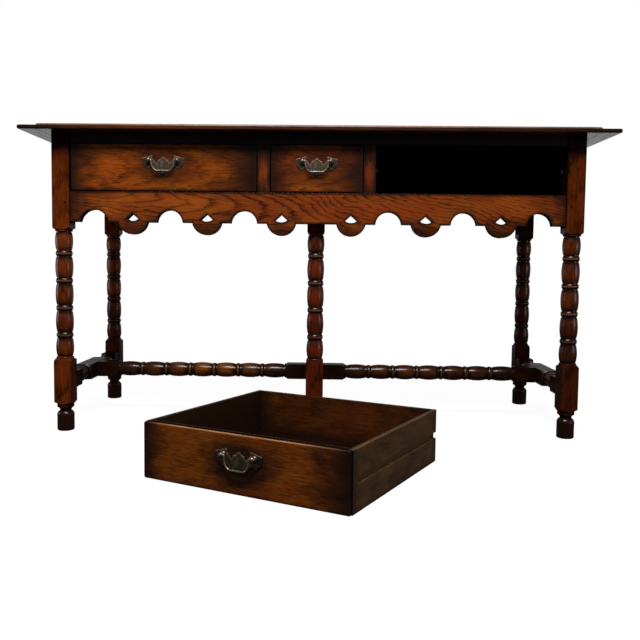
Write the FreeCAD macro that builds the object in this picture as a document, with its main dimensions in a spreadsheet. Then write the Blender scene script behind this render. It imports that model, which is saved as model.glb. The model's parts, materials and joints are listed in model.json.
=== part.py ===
import FreeCAD, Part
import math
import os
import types
import Sketcher

# Dresser base in oak: plank top, five bobbin-turned legs, three side-hung drawers.
# X runs along the front, Y from front to back, Z up. The origin is the middle of the sole of the
# middle leg, on the floor. The right drawer stands on the floor in front, out of its bay.

# Driving sizes, in millimetres and degrees
SIZES = {
    # Frame
    "total_height": 800,
    "frame_width": 1377,
    "frame_depth": 523,
    "leg_square": 47,
    "middle_leg_square": 46,
    "arris": 1.2,
    "face_setback": 3,
    # Plank top
    "top_thickness": 14.5,
    "top_end_overhang": 73,
    "top_front_overhang": 45,
    "top_back_overhang": 10,
    "top_upper_round": 5.5,
    "top_lower_round": 4,
    "cleat_width": 50,
    "cleat_drop": 4,
    "cleat_corner_round": 6,
    "cleat_edge_round": 3.5,
    "tongue_thickness": 4,
    "tongue_length": 14,
    "tongue_inset": 24,
    # Heights on the legs
    "foot_block_low": 79.5,
    "foot_block_high": 186.5,
    "upper_block_drop": 93,
    # Bobbin turning; the spare is what the end bobbins add to, or lack of, a full pitch each
    "leg_end_spare": -5.5,
    "stretcher_end_spare": 15,
    "turning_waste": 0.4,
    "bobbin_fall": 2.6,
    "reel_length": 20,
    "reel_step": 1.2,
    "reel_fillet": 3,
    "reel_rise": 2.6,
    "shoulder_height": 7.5,
    "collar_height": 4,
    "collar_step": 1.2,
    "collar_rise": 0.8,
    # Feet
    "sole_radius": 19,
    "foot_radius": 22.3,
    "foot_edge_height": 4,
    "foot_edge_rise": 1,
    "foot_straight_top": 38,
    "foot_dome_rise": 3,
    "ankle_radius": 14.5,
    "ankle_height": 54,
    "ankle_cove_rise": 1.6,
    "foot_ring_low": 63,
    # Apron
    "opening_height": 124,
    "apron_height": 79.5,
    "apron_thickness": 27,
    "first_drop": 90.5,
    "apron_end_flat": 66,
    "drop_width": 76,
    "drop_depth": 31.5,
    "arch_width": 68,
    "left_end_arch_width": 76,
    "arch_height": 32,
    "piercing_width": 31,
    "piercing_point": 14,
    "piercing_belly": 5,
    "piercing_above_flats": 8.5,
    # Rails, muntins and boards
    "top_rail_height": 27.5,
    "rail_thickness": 22,
    "middle_opening": 242,
    "muntin_width": 32,
    "side_rail_thickness": 20,
    "side_rail_drop": 8,
    "back_thickness": 18,
    "back_drop": 16,
    "dust_board_drop": 8,
    "dust_board_thickness": 6,
    "dust_board_housing": 6,
    "dust_board_end_gap": 1,
    "bearer_height": 50,
    "glue_block": 18,
    "glue_block_length": 70,
    # Mortise and tenon joints
    "tenon_length": 22,
    "tenon_thickness": 10,
    "tenon_shoulder": 8,
    "stub_tenon": 12,
    "rail_tenon_shoulder": 4,
    "stretcher_tenon_height": 24,
    "joint_gap": 0.1,
    "mortise_end_gap": 1,
    "peg_radius": 3,
    "peg_length": 35,
    "peg_proud": 0.6,
    "peg_inset": 12,
    "apron_peg_drop": 30,
    # Stretchers
    "stretcher_square": 44,
    "side_end_block": 47,
    "side_middle_block": 157,
    "long_end_block": 52,
    "long_centre_block": 158,
    "stretcher_tenon": 20,
    "tie_square": 30,
    # Drawers
    "drawer_back_room": 48,
    "drawer_gap": 1.5,
    "drawer_side_gap": 2,
    "drawer_front_thickness": 20,
    "drawer_front_round": 3,
    "drawer_front_lap": 8,
    "drawer_side_thickness": 11,
    "drawer_back_thickness": 11,
    "drawer_bottom_thickness": 6,
    "drawer_bottom_height": 12,
    "drawer_bottom_housing": 5,
    "groove_middle": 61.5,
    "groove_height": 14,
    "groove_depth": 6,
    "groove_start": 30,
    "runner_start_gap": 1.5,
    "runner_side_gap": 1,
    "running_gap": 0.3,
    "runner_under_gap": 1.2,
    # The drawer that stands on the floor
    "loose_x": -138.4,
    "loose_forward": 522.7,
    "loose_turn": -27.76,
    # Handles
    "handle_height": 79.5,
    "plate_thickness": 2.4,
    "post_spacing": 73,
    "post_stem_radius": 2.5,
    "post_foot_radius": 5.5,
    "post_foot_height": 2.2,
    "post_neck_radius": 3,
    "post_ball_radius": 4.6,
    "pivot_stand_off": 11,
    "bail_radius": 2.2,
    "bail_clearance": 0.1,
    "bail_side_gap": 0.6,
    "bail_end_proud": 1.2,
    "bail_taper": 1,
    "bail_arm": 13,
    "bail_bend": 4,
    "bail_rise": 7,
    "bail_drop": 28,
    "bail_grip": 32,
    "nut_radius": 6,
    "nut_thickness": 5,
    "stem_past_nut": 3,
}

# Counts and drawing rules
LEG_BOBBINS = 5
STRETCHER_BOBBINS = 7
DROPS_A_SIDE = 3
TOP_BOARDS = ("front", "middle", "back")
CORNER_CLEAR = 0.75
WING_DRAWN_SPACING = 73

doc = FreeCAD.newDocument("DresserBase")
Vector = FreeCAD.Vector
sheet = doc.addObject("Spreadsheet::Sheet", "Sizes")
for row, (alias, number) in enumerate(SIZES.items(), start=1):
    sheet.set(f"A{row}", alias)
    sheet.set(f"B{row}", str(number))
    sheet.setAlias(f"B{row}", alias)
doc.recompute()


def formula(value):
    """Text of a size, or of a plain number."""
    return value.text if isinstance(value, Size) else f"({value})"


class Size:
    """A length worked out from the sheet, kept as a formula so that pieces can be bound to it."""

    def __init__(self, text):
        self.text = text

    def __add__(self, other):
        return Size(f"({self.text} + {formula(other)})")

    def __radd__(self, other):
        return Size(f"({formula(other)} + {self.text})")

    def __sub__(self, other):
        return Size(f"({self.text} - {formula(other)})")

    def __rsub__(self, other):
        return Size(f"({formula(other)} - {self.text})")

    def __mul__(self, other):
        return Size(f"({self.text} * {formula(other)})")

    __rmul__ = __mul__

    def __truediv__(self, other):
        return Size(f"({self.text} / {formula(other)})")

    def __neg__(self):
        return Size(f"(0 - {self.text})")

    def __float__(self):
        return float(sheet.evalExpression(self.text))


S = types.SimpleNamespace(**{alias: Size(f"Sizes.{alias}") for alias in SIZES})
nodes = {}


def bind(item, prop, size):
    item.setExpression(prop, formula(size))


def place(item, x=0, y=0, z=0):
    """Bind where an object's own origin lies."""
    for axis, size in zip("xyz", (x, y, z)):
        bind(item, f"Placement.Base.{axis}", size)


def turn(item, axis, degrees):
    item.Placement = FreeCAD.Placement(Vector(), FreeCAD.Rotation(axis, degrees))


def keep(label, item):
    """Name a finished sub-part."""
    item.Label = label
    nodes[label] = item
    return item


# Solids and booleans

# Turns that lay an upright solid along another axis
ALONG = {"X": (Vector(0, 1, 0), 90), "Y": (Vector(1, 0, 0), -90)}


def box(name, corner, opposite):
    """Box between two opposite corners, given in any order."""
    solid = doc.addObject("Part::Box", name)
    for prop, axis, a, b in zip(("Length", "Width", "Height"), "xyz", corner, opposite):
        low, high = (a, b) if float(a) <= float(b) else (b, a)
        bind(solid, prop, Size(formula(high)) - low)
        bind(solid, f"Placement.Base.{axis}", low)
    return solid


def cylinder(name, radius, length, start, along):
    """Round bar from a start point along X or Y."""
    solid = doc.addObject("Part::Cylinder", name)
    turn(solid, *ALONG[along])
    bind(solid, "Radius", radius)
    bind(solid, "Height", length)
    place(solid, *start)
    return solid


def group(name, members):
    """Several separate solids kept as one object."""
    whole = doc.addObject("Part::Compound", name)
    whole.Links = members
    return whole


def fuse(name, members):
    if len(members) == 1:
        return members[0]
    whole = doc.addObject("Part::MultiFuse", name)
    whole.Shapes = members
    return whole


def cut(name, base, tools):
    rest = doc.addObject("Part::Cut", name)
    rest.Base = base
    rest.Tool = fuse(name + "_waste", tools)
    return rest


def tenon_joint(name, low, high, axis, toward):
    """A tenon between two corners and its mortise: deeper at the blind end, easier all round."""
    tenon = box(name + "_tenon", low, high)
    pairs = [sorted(ends, key=float) for ends in zip(low, high)]
    wide_low = [a - S.joint_gap for a, _ in pairs]
    wide_high = [b + S.joint_gap for _, b in pairs]
    shoulder_low, shoulder_high = pairs[axis]
    wide_low[axis] = shoulder_low if toward > 0 else shoulder_low - S.mortise_end_gap
    wide_high[axis] = shoulder_high + S.mortise_end_gap if toward > 0 else shoulder_high
    return tenon, box(name + "_mortise", wide_low, wide_high)


# Sketches


def new_sketch(body, plane, name):
    sketch = body.newObject("Sketcher::SketchObject", name)
    support = next(p for p in body.Origin.OriginFeatures if p.Role == plane)
    sketch.AttachmentSupport = [(support, "")]
    sketch.MapMode = "FlatFace"
    return sketch


def fixed_point(geometry, end, across, up):
    """Constraints that tie one end of a line or arc to two sizes from the sketch's origin."""
    ties = []
    for kind, axis, size in (("DistanceX", -2, across), ("DistanceY", -1, up)):
        if isinstance(size, Size):
            ties.append((Sketcher.Constraint(kind, -1, 1, geometry, end, float(size)), size))
        else:
            ties.append((Sketcher.Constraint("PointOnObject", geometry, end, axis), None))
    return ties


def constrain(sketch, ties):
    """Add constraints all at once, and bind each one that follows a size."""
    numbers = sketch.addConstraint([constraint for constraint, _ in ties])
    for number, (_, size) in zip(numbers, ties):
        if size is not None:
            bind(sketch, f"Constraints[{number}]", size)


def arc_between(start, finish, rise):
    """Arc from start to finish that bulges by rise to the right of the way it runs."""
    chord = finish - start
    half = chord.Length / 2
    radius = (half * half + rise * rise) / (2 * abs(rise))
    right = Vector(chord.y, -chord.x, 0) / chord.Length
    centre = (start + finish) / 2 + right * (rise - math.copysign(radius, rise))
    ends = (start, finish) if rise > 0 else (finish, start)
    angles = [math.atan2(p.y - centre.y, p.x - centre.x) for p in ends]
    return Part.ArcOfCircle(Part.Circle(centre, Vector(0, 0, 1), radius), *angles)


def draw(sketch, path, closed=True):
    """Outline of straight runs and arcs: (x, y) ends a straight run, (x, y, rise) ends an arc.

    Each point is tied to its sizes, and each arc to the radius that its rise gives.
    """
    spots = [Vector(float(p[0]), float(p[1]), 0) for p in path]
    count = len(path) if closed else len(path) - 1
    lines, ends, ties = [], [], []
    for i in range(count):
        j = (i + 1) % len(path)
        rise = float(path[j][2]) if len(path[j]) == 3 else 0
        lines.append(arc_between(spots[i], spots[j], rise) if rise else Part.LineSegment(spots[i], spots[j]))
        ends.append((2, 1) if rise < 0 else (1, 2))
    numbers = sketch.addGeometry(lines, False)
    for i, number in enumerate(numbers):
        begin, finish = ends[i]
        if closed or i > 0:
            joint = Sketcher.Constraint("Coincident", numbers[i - 1], ends[i - 1][1], number, begin)
            ties.append((joint, None))
        ties += fixed_point(number, begin, *path[i][:2])
        goal = path[(i + 1) % len(path)]
        if len(goal) == 3:
            radius = arc_radius(path[i], goal)
            ties.append((Sketcher.Constraint("Radius", number, float(radius)), radius))
    if not closed:
        ties += fixed_point(numbers[-1], ends[-1][1], *path[-1][:2])
    constrain(sketch, ties)


def arc_radius(start, goal):
    """Radius of the arc whose rise is given with its end."""
    wide = Size(formula(goal[0])) - start[0]
    tall = Size(formula(goal[1])) - start[1]
    rise = goal[2] if float(goal[2]) > 0 else -goal[2]
    return ((wide * wide + tall * tall) / 4 + rise * rise) / (rise * 2)


def pad(body, sketch, length, reverse=False):
    feature = body.newObject("PartDesign::Pad", sketch.Name + "_pad")
    feature.Profile = sketch
    feature.Reversed = reverse
    bind(feature, "Length", length)
    return feature


def revolve(body, kind, sketch):
    feature = body.newObject("PartDesign::" + kind, sketch.Name + "_turn")
    feature.Profile = sketch
    feature.ReferenceAxis = (sketch, ["V_Axis"])
    feature.Angle = 360
    return feature


def round_edges(body, base, radius, wanted):
    """Fillet the edges of a feature that the test picks out."""
    doc.recompute()
    names = [f"Edge{i}" for i, edge in enumerate(base.Shape.Edges, start=1) if wanted(edge.BoundBox)]
    feature = body.newObject("PartDesign::Fillet", base.Name + "_round")
    feature.Base = (base, names)
    bind(feature, "Radius", radius)
    return feature


# Turned pieces


def rectangle(half_x, half_y, corner):
    """Section with its four corners cut off by a small arris."""
    return [
        (half_x - corner, -half_y),
        (half_x, -half_y + corner),
        (half_x, half_y - corner),
        (half_x - corner, half_y),
        (-half_x + corner, half_y),
        (-half_x, half_y - corner),
        (-half_x, -half_y + corner),
        (-half_x + corner, -half_y),
    ]


def turned_stock(name, square, length, turnings):
    """Square stock standing on its end, with the waste of each turned run taken off."""
    body = doc.addObject("PartDesign::Body", name)
    section = new_sketch(body, "XY_Plane", name + "_section")
    draw(section, rectangle(square / 2, square / 2, S.arris))
    pad(body, section, length)
    for number, outline in enumerate(turnings, start=1):
        profile = new_sketch(body, "XZ_Plane", f"{name}_turning_{number}")
        draw(profile, outline)
        revolve(body, "Groove", profile)
    return body


def clear_radius(square):
    """Radius outside the corners of the stock."""
    return square * CORNER_CLEAR


def bobbin_turning(low, high, count, spare, square):
    """Waste round a row of bobbins with reels between them, from one square block to the next."""
    pitch = (high - low - spare) / count
    belly = square / 2 - S.turning_waste
    neck = belly - S.bobbin_fall
    seat = neck - S.reel_step
    collar = belly - S.collar_step
    middle = (low + high) / 2
    first = low + S.shoulder_height + S.collar_height
    path = [
        (clear_radius(square), low),
        (collar, low + S.shoulder_height),
        (collar, first, S.collar_rise),
        (seat, first),
        (seat, first + S.reel_fillet),
        (neck, first + S.reel_fillet),
    ]
    for reel in range(count - 1):
        start = middle + pitch * (reel - (count - 2) / 2) - S.reel_length / 2
        finish = start + S.reel_length
        path += [
            (neck, start, S.bobbin_fall),
            (seat, start),
            (seat, start + S.reel_fillet),
            (seat, finish - S.reel_fillet, S.reel_rise),
            (seat, finish),
            (neck, finish),
        ]
    last = high - S.shoulder_height - S.collar_height
    path += [
        (neck, last - S.reel_fillet, S.bobbin_fall),
        (seat, last - S.reel_fillet),
        (seat, last),
        (collar, last),
        (collar, high - S.shoulder_height, S.collar_rise),
        (clear_radius(square), high),
    ]
    return path


def foot_turning(square):
    """Waste round a foot: barrel with a domed top, thin ankle, ring and shoulder."""
    ring = square / 2 - S.turning_waste - S.collar_step
    return [
        (clear_radius(square), 0),
        (S.sole_radius, 0),
        (S.foot_radius, S.foot_edge_height, S.foot_edge_rise),
        (S.foot_radius, S.foot_straight_top),
        (S.ankle_radius, S.ankle_height, S.foot_dome_rise),
        (ring, S.foot_ring_low, -S.ankle_cove_rise),
        (ring, S.foot_block_low - S.shoulder_height),
        (clear_radius(square), S.foot_block_low),
    ]


def turned_leg(name, square, height):
    shaft = bobbin_turning(S.foot_block_high, upper_block_low, LEG_BOBBINS, S.leg_end_spare, square)
    return turned_stock(name, square, height, [foot_turning(square), shaft])


# Main planes of the frame
half_width = S.frame_width / 2
inner = half_width - S.leg_square
leg_x = half_width - S.leg_square / 2
front = -(S.face_setback + S.apron_thickness + S.middle_leg_square / 2)
back = front + S.frame_depth
face = front + S.face_setback
apron_back = face + S.apron_thickness
rail_back = face + S.rail_thickness
board_back = back - S.face_setback
board_front = board_back - S.back_thickness
side_out = half_width - S.face_setback
side_in = side_out - S.side_rail_thickness
top_low = S.total_height - S.top_thickness
rail_low = top_low - S.top_rail_height
apron_top = rail_low - S.opening_height
flats = apron_top - S.apron_height
upper_block_low = apron_top - S.upper_block_drop
side_rail_low = apron_top - S.side_rail_drop
back_low = apron_top - S.back_drop
dust_board_low = apron_top - S.dust_board_drop
scallop_step = (inner - S.first_drop - S.apron_end_flat) / (2 * DROPS_A_SIDE - 1)
muntin_in = S.middle_opening / 2
muntin_out = muntin_in + S.muntin_width
stretcher_z = (S.foot_block_low + S.foot_block_high) / 2
stretcher_y = (front + back) / 2
drawer_z = apron_top + S.drawer_gap
drawer_height = S.opening_height - S.drawer_gap * 2
drawer_depth = board_front - face - S.drawer_back_room
runner_height = S.groove_height - S.running_gap - S.runner_under_gap
runner_top = drawer_z + S.groove_middle + S.groove_height / 2 - S.running_gap
runner_z = runner_top - runner_height / 2
SIDES = (("left", -1), ("right", 1))
ENDS = (("front", front, 1), ("rear", back, -1))
mortises = {f"{end}_{side}_leg": [] for end, _, _ in ENDS for side, _ in SIDES}
pegs = []
peg_holes = {}


def add_peg(holder, fixed, name, start, along, inward):
    """A peg through a joint, and the hole for it in both pieces."""
    low = list(start)
    axis = "XY".index(along)
    low[axis] = start[axis] if inward > 0 else start[axis] - S.peg_length
    pegs.append(cylinder(name, S.peg_radius, S.peg_length, low, along))
    hole = cylinder(name + "_hole", S.peg_radius + S.joint_gap / 2, S.peg_length, low, along)
    for piece in (holder, fixed):
        peg_holes.setdefault(piece, []).append(hole)


# Apron


def scallop_radius(width, depth):
    return (width * width / 4 + depth * depth) / (depth * 2)


def piercing(name, x):
    """Small hole with a pointed top and a bowed foot, right through the apron."""
    low = flats + S.piercing_above_flats
    body = doc.addObject("PartDesign::Body", name)
    outline = new_sketch(body, "XZ_Plane", name + "_outline")
    half = S.piercing_width / 2
    draw(outline, [(x - half, low), (x + half, low, S.piercing_belly), (x, low + S.piercing_point)])
    pad(body, outline, S.apron_thickness, reverse=True)
    place(body, y=face)
    return body


def make_apron(mortised):
    board = [box("apron_board", (-inner, face, flats), (inner, apron_back, apron_top))]
    waste = list(mortised)
    drop = scallop_radius(S.drop_width, S.drop_depth)
    for side, sign in SIDES:
        for step in range(DROPS_A_SIDE):
            x = (S.first_drop + scallop_step * (2 * step)) * sign
            name = f"apron_{side}_{step}"
            drop_centre = (x, face, flats - S.drop_depth + drop)
            board.append(cylinder(name + "_drop", drop, S.apron_thickness, drop_centre, "Y"))
            waste.append(piercing(name + "_piercing", x))
            left_end = side == "left" and step == DROPS_A_SIDE - 1
            width = S.left_end_arch_width if left_end else S.arch_width
            arch = scallop_radius(width, S.arch_height)
            arch_x = x + (scallop_step + (width - S.arch_width) / 2) * sign
            arch_centre = (arch_x, face, flats + S.arch_height - arch)
            waste.append(cylinder(name + "_arch", arch, S.apron_thickness, arch_centre, "Y"))
        y = face + (S.apron_thickness - S.tenon_thickness) / 2
        tenon, mortise = tenon_joint(
            f"apron_{side}",
            (inner * sign, y, flats + S.tenon_shoulder),
            ((inner + S.tenon_length) * sign, y + S.tenon_thickness, apron_top - S.tenon_shoulder),
            0,
            sign,
        )
        board.append(tenon)
        mortises[f"front_{side}_leg"].append(mortise)
        peg_start = ((inner + S.peg_inset) * sign, front - S.peg_proud, apron_top - S.apron_peg_drop)
        add_peg("apron", f"front_{side}_leg", f"apron_{side}_peg", peg_start, "Y", 1)
    groove_low = dust_board_low - S.joint_gap
    groove_high = dust_board_low + S.dust_board_thickness + S.joint_gap
    groove_y = apron_back - S.dust_board_housing
    waste.append(box("apron_groove", (-inner, groove_y, groove_low), (inner, apron_back, groove_high)))
    keep("apron", cut("apron", fuse("apron_blank", board), waste + peg_holes["apron"]))


# Rails, muntins and the boards of the frame


def make_top_rail(mortised):
    rail = [box("top_rail_board", (-inner, face, rail_low), (inner, rail_back, top_low))]
    for side, sign in SIDES:
        y = face + (S.rail_thickness - S.tenon_thickness) / 2
        tenon, mortise = tenon_joint(
            f"top_rail_{side}",
            (inner * sign, y, rail_low + S.rail_tenon_shoulder),
            ((inner + S.tenon_length) * sign, y + S.tenon_thickness, top_low - S.rail_tenon_shoulder),
            0,
            sign,
        )
        rail.append(tenon)
        mortises[f"front_{side}_leg"].append(mortise)
    keep("top_rail", cut("top_rail", fuse("top_rail_blank", rail), mortised))


def make_muntins():
    """Uprights between the drawers; returns the mortises for the rail above and the apron below."""
    above, below = [], []
    for side, sign in SIDES:
        name = f"{side}_muntin"
        near, far = muntin_in * sign, muntin_out * sign
        post = box(name + "_post", (near, face, apron_top), (far, rail_back, rail_low))
        x_near = (muntin_in + S.tenon_shoulder) * sign
        x_far = (muntin_out - S.tenon_shoulder) * sign
        y = face + (S.rail_thickness - S.tenon_thickness) / 2
        y_far = y + S.tenon_thickness
        upper, upper_mortise = tenon_joint(
            name + "_upper", (x_near, y, rail_low), (x_far, y_far, rail_low + S.stub_tenon), 2, 1
        )
        lower_end = apron_top - S.stub_tenon
        lower, lower_mortise = tenon_joint(
            name + "_lower", (x_near, y, lower_end), (x_far, y_far, apron_top), 2, -1
        )
        above.append(upper_mortise)
        below.append(lower_mortise)
        keep(name, fuse(name, [post, upper, lower]))
    return above, below


def make_side_rails():
    for side, sign in SIDES:
        name = f"{side}_side_rail"
        near = front + S.leg_square
        far = back - S.leg_square
        low = side_rail_low
        rail = [box(name + "_board", (side_in * sign, near, low), (side_out * sign, far, top_low))]
        x = side_in + (S.side_rail_thickness - S.tenon_thickness) / 2
        for end, plane, inward in ENDS:
            shoulder = plane + S.leg_square * inward
            tip = shoulder - S.tenon_length * inward
            tenon, mortise = tenon_joint(
                f"{name}_{end}",
                (x * sign, shoulder, low + S.tenon_shoulder),
                ((x + S.tenon_thickness) * sign, tip, top_low - S.tenon_shoulder),
                1,
                -inward,
            )
            rail.append(tenon)
            mortises[f"{end}_{side}_leg"].append(mortise)
        keep(name, fuse(name, rail))


def make_back_board():
    board = [box("back_board_panel", (-inner, board_front, back_low), (inner, board_back, top_low))]
    y = board_front + (S.back_thickness - S.tenon_thickness) / 2
    for side, sign in SIDES:
        tenon, mortise = tenon_joint(
            f"back_board_{side}",
            (inner * sign, y, back_low + S.tenon_shoulder),
            ((inner + S.tenon_length) * sign, y + S.tenon_thickness, top_low - S.tenon_shoulder),
            0,
            sign,
        )
        board.append(tenon)
        mortises[f"rear_{side}_leg"].append(mortise)
    groove_low = dust_board_low - S.joint_gap
    groove_high = dust_board_low + S.dust_board_thickness + S.joint_gap
    groove_y = board_front + S.dust_board_housing
    groove = box("back_board_groove", (-inner, board_front, groove_low), (inner, groove_y, groove_high))
    keep("back_board", cut("back_board", fuse("back_board_blank", board), [groove]))


def make_dust_board():
    """Thin board in grooves of the apron and back board, wider between the legs up to the side rails."""
    reach = inner - S.dust_board_end_gap
    near = apron_back - S.dust_board_housing + S.joint_gap
    far = board_front + S.dust_board_housing - S.joint_gap
    high = dust_board_low + S.dust_board_thickness
    middle = box("dust_board_middle", (-reach, near, dust_board_low), (reach, far, high))
    reach = side_in - S.dust_board_end_gap
    near = front + S.leg_square + S.dust_board_end_gap
    far = back - S.leg_square - S.dust_board_end_gap
    ears = box("dust_board_ears", (-reach, near, dust_board_low), (reach, far, high))
    keep("dust_board", fuse("dust_board", [middle, ears]))


def make_bearers_and_guides():
    """Pieces that carry the runners: behind the muntins, and inside the side rails."""
    low = runner_z - S.bearer_height / 2
    high = runner_z + S.bearer_height / 2
    for side, sign in SIDES:
        bearer = box(
            f"{side}_bearer", (muntin_in * sign, rail_back, low), (muntin_out * sign, board_front, high)
        )
        keep(f"{side}_bearer", bearer)
        near = front + S.leg_square
        far = back - S.leg_square
        guide = box(f"{side}_guide", (inner * sign, near, low), (side_in * sign, far, high))
        keep(f"{side}_guide", guide)


def make_runners():
    """A strip on each side of each opening, reaching into the drawer's groove."""
    reach = S.drawer_side_gap + S.groove_depth - S.runner_side_gap
    start = face + S.groove_start + S.runner_start_gap
    openings = {
        "left": (-inner, -muntin_out),
        "middle": (-muntin_in, muntin_in),
        "right": (muntin_out, inner),
    }
    for bay, (left, right) in openings.items():
        for side, edge, tip in (("left", left, left + reach), ("right", right, right - reach)):
            name = f"{bay}_bay_{side}_runner"
            corner = (edge, start, runner_top - runner_height)
            keep(name, box(name, corner, (tip, board_front, runner_top)))


def make_glue_blocks():
    """Blocks in the corner under the top, along the rails and the back."""
    low = top_low - S.glue_block
    blocks = []
    bay_middle = (inner + muntin_out) / 2
    half = S.glue_block_length / 2
    rows = (
        ("front", rail_back, rail_back + S.glue_block),
        ("back", board_front, board_front - S.glue_block),
    )
    for row_name, near, far in rows:
        for number, x in enumerate((-bay_middle, Size("0"), bay_middle)):
            name = f"glue_block_{row_name}_{number}"
            blocks.append(box(name, (x - half, near, low), (x + half, far, top_low)))
    for side, sign in SIDES:
        corner = (side_in * sign, stretcher_y - half, low)
        opposite = ((side_in - S.glue_block) * sign, stretcher_y + half, top_low)
        blocks.append(box(f"glue_block_{side}", corner, opposite))
    keep("top_glue_blocks", group("top_glue_blocks", blocks))


def make_top():
    """Three boards side by side, tongued at both ends into cleats that lie a little lower."""
    reach = half_width + S.top_end_overhang - S.cleat_width
    near = front - S.top_front_overhang
    far = back + S.top_back_overhang
    body = doc.addObject("PartDesign::Body", "top_slab")
    outline = new_sketch(body, "XY_Plane", "top_outline")
    draw(outline, [(-reach, near), (reach, near), (reach, far), (-reach, far)])
    slab = pad(body, outline, S.top_thickness)
    place(body, z=top_low)
    middle = float(S.top_thickness) / 2
    upper = round_edges(body, slab, S.top_upper_round, lambda b: b.ZMin > middle)
    round_edges(body, upper, S.top_lower_round, lambda b: b.ZMax < middle and b.XLength > b.YLength)
    cleat_thickness = S.top_thickness - S.cleat_drop
    tongue_low = top_low + (cleat_thickness - S.tongue_thickness) / 2
    pieces, cleats = [body], []
    for side, sign in SIDES:
        tongue, groove = tenon_joint(
            f"top_{side}",
            (reach * sign, near + S.tongue_inset, tongue_low),
            ((reach + S.tongue_length) * sign, far - S.tongue_inset, tongue_low + S.tongue_thickness),
            0,
            sign,
        )
        pieces.append(tongue)
        cleats.append(make_cleat(f"{side}_cleat", reach * sign, near, far, sign, cleat_thickness, groove))
    keep("end_cleats", group("end_cleats", cleats))
    whole = fuse("top_blank", pieces)
    width = (far - near) / len(TOP_BOARDS)
    tip = reach + S.tongue_length
    for number, label in enumerate(TOP_BOARDS):
        board = doc.addObject("Part::Common", f"top_board_{label}")
        board.Base = whole
        low = near + width * number
        board.Tool = box(f"top_{label}_strip", (-tip, low, top_low), (tip, low + width, S.total_height))
        keep(f"top_board_{label}", board)


def make_cleat(name, shoulder, near, far, sign, thickness, groove):
    """Strip across the ends of the top's boards, rounded on the three sides that show."""
    tip = shoulder + S.cleat_width * sign
    left, right = (shoulder, tip) if sign > 0 else (tip, shoulder)
    body = doc.addObject("PartDesign::Body", name + "_strip")
    outline = new_sketch(body, "XY_Plane", name + "_outline")
    draw(outline, [(left, near), (right, near), (right, far), (left, far)])
    strip = pad(body, outline, thickness)
    place(body, z=top_low)
    inside = float(shoulder + S.cleat_width / 2 * sign)
    middle = float(thickness) / 2

    def outward(bounds):
        return bounds.XMax > inside if sign > 0 else bounds.XMin < inside

    corners = round_edges(
        body, strip, S.cleat_corner_round, lambda b: b.ZLength > middle and outward(b)
    )
    round_edges(body, corners, S.cleat_edge_round, lambda b: b.ZLength < middle and outward(b))
    return cut(name, body, [groove])


# Stretchers


def make_side_stretcher(side, sign, mortised):
    name = f"{side}_side_stretcher"
    square = S.stretcher_square
    length = S.frame_depth - S.leg_square * 2
    block_start = (length - S.side_middle_block) / 2
    runs = ((S.side_end_block, block_start), (length - block_start, length - S.side_end_block))
    turnings = [bobbin_turning(low, high, 1, S.stretcher_end_spare, square) for low, high in runs]
    bar = turned_stock(name + "_bar", square, length, turnings)
    turn(bar, *ALONG["Y"])
    place(bar, leg_x * sign, front + S.leg_square, stretcher_z)
    pieces = [bar]
    half_t = S.tenon_thickness / 2
    half_h = S.stretcher_tenon_height / 2
    for end, plane, inward in ENDS:
        shoulder = plane + S.leg_square * inward
        tip = shoulder - S.tenon_length * inward
        tenon, mortise = tenon_joint(
            f"{name}_{end}",
            (leg_x * sign - half_t, shoulder, stretcher_z - half_h),
            (leg_x * sign + half_t, tip, stretcher_z + half_h),
            1,
            -inward,
        )
        pieces.append(tenon)
        leg = f"{end}_{side}_leg"
        mortises[leg].append(mortise)
        peg_start = ((half_width + S.peg_proud) * sign, shoulder - S.peg_inset * inward, stretcher_z)
        add_peg(name, leg, f"{name}_{end}_peg", peg_start, "X", -sign)
    keep(name, cut(name, fuse(name + "_blank", pieces), [mortised] + peg_holes[name]))


def make_long_stretcher():
    """Bobbin-turned bar between the side stretchers; returns the mortises in them."""
    square = S.stretcher_square
    length = leg_x * 2 - square
    centre_start = (length - S.long_centre_block) / 2
    runs = ((S.long_end_block, centre_start), (length - centre_start, length - S.long_end_block))
    spare = S.stretcher_end_spare
    turnings = [bobbin_turning(low, high, STRETCHER_BOBBINS, spare, square) for low, high in runs]
    bar = turned_stock("long_stretcher_bar", square, length, turnings)
    turn(bar, *ALONG["X"])
    place(bar, -(length / 2), stretcher_y, stretcher_z)
    pieces = [bar]
    side_mortises = {}
    half_t = S.tenon_thickness / 2
    half_h = S.stretcher_tenon_height / 2
    for side, sign in SIDES:
        tenon, side_mortises[side] = tenon_joint(
            f"long_stretcher_{side}",
            (length / 2 * sign, stretcher_y - half_t, stretcher_z - half_h),
            ((length / 2 + S.stretcher_tenon) * sign, stretcher_y + half_t, stretcher_z + half_h),
            0,
            sign,
        )
        pieces.append(tenon)
    return pieces, side_mortises


def make_tie():
    """Short bar from the middle leg back to the long stretcher; returns its two mortises."""
    half = S.tie_square / 2
    near = S.middle_leg_square / 2
    far = stretcher_y - S.stretcher_square / 2
    bar = box("middle_tie_bar", (-half, near, stretcher_z - half), (half, far, stretcher_z + half))
    half_t = S.tenon_thickness / 2
    thin_low = stretcher_z - half_t
    thin_high = stretcher_z + half_t
    front_tenon, leg_mortise = tenon_joint(
        "tie_front", (-half_t, near - S.stub_tenon, thin_low), (half_t, near, thin_high), 1, -1
    )
    back_tenon, block_mortise = tenon_joint(
        "tie_back", (-half_t, far, thin_low), (half_t, far + S.stub_tenon, thin_high), 1, 1
    )
    keep("middle_tie", fuse("middle_tie", [bar, front_tenon, back_tenon]))
    return leg_mortise, block_mortise


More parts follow.
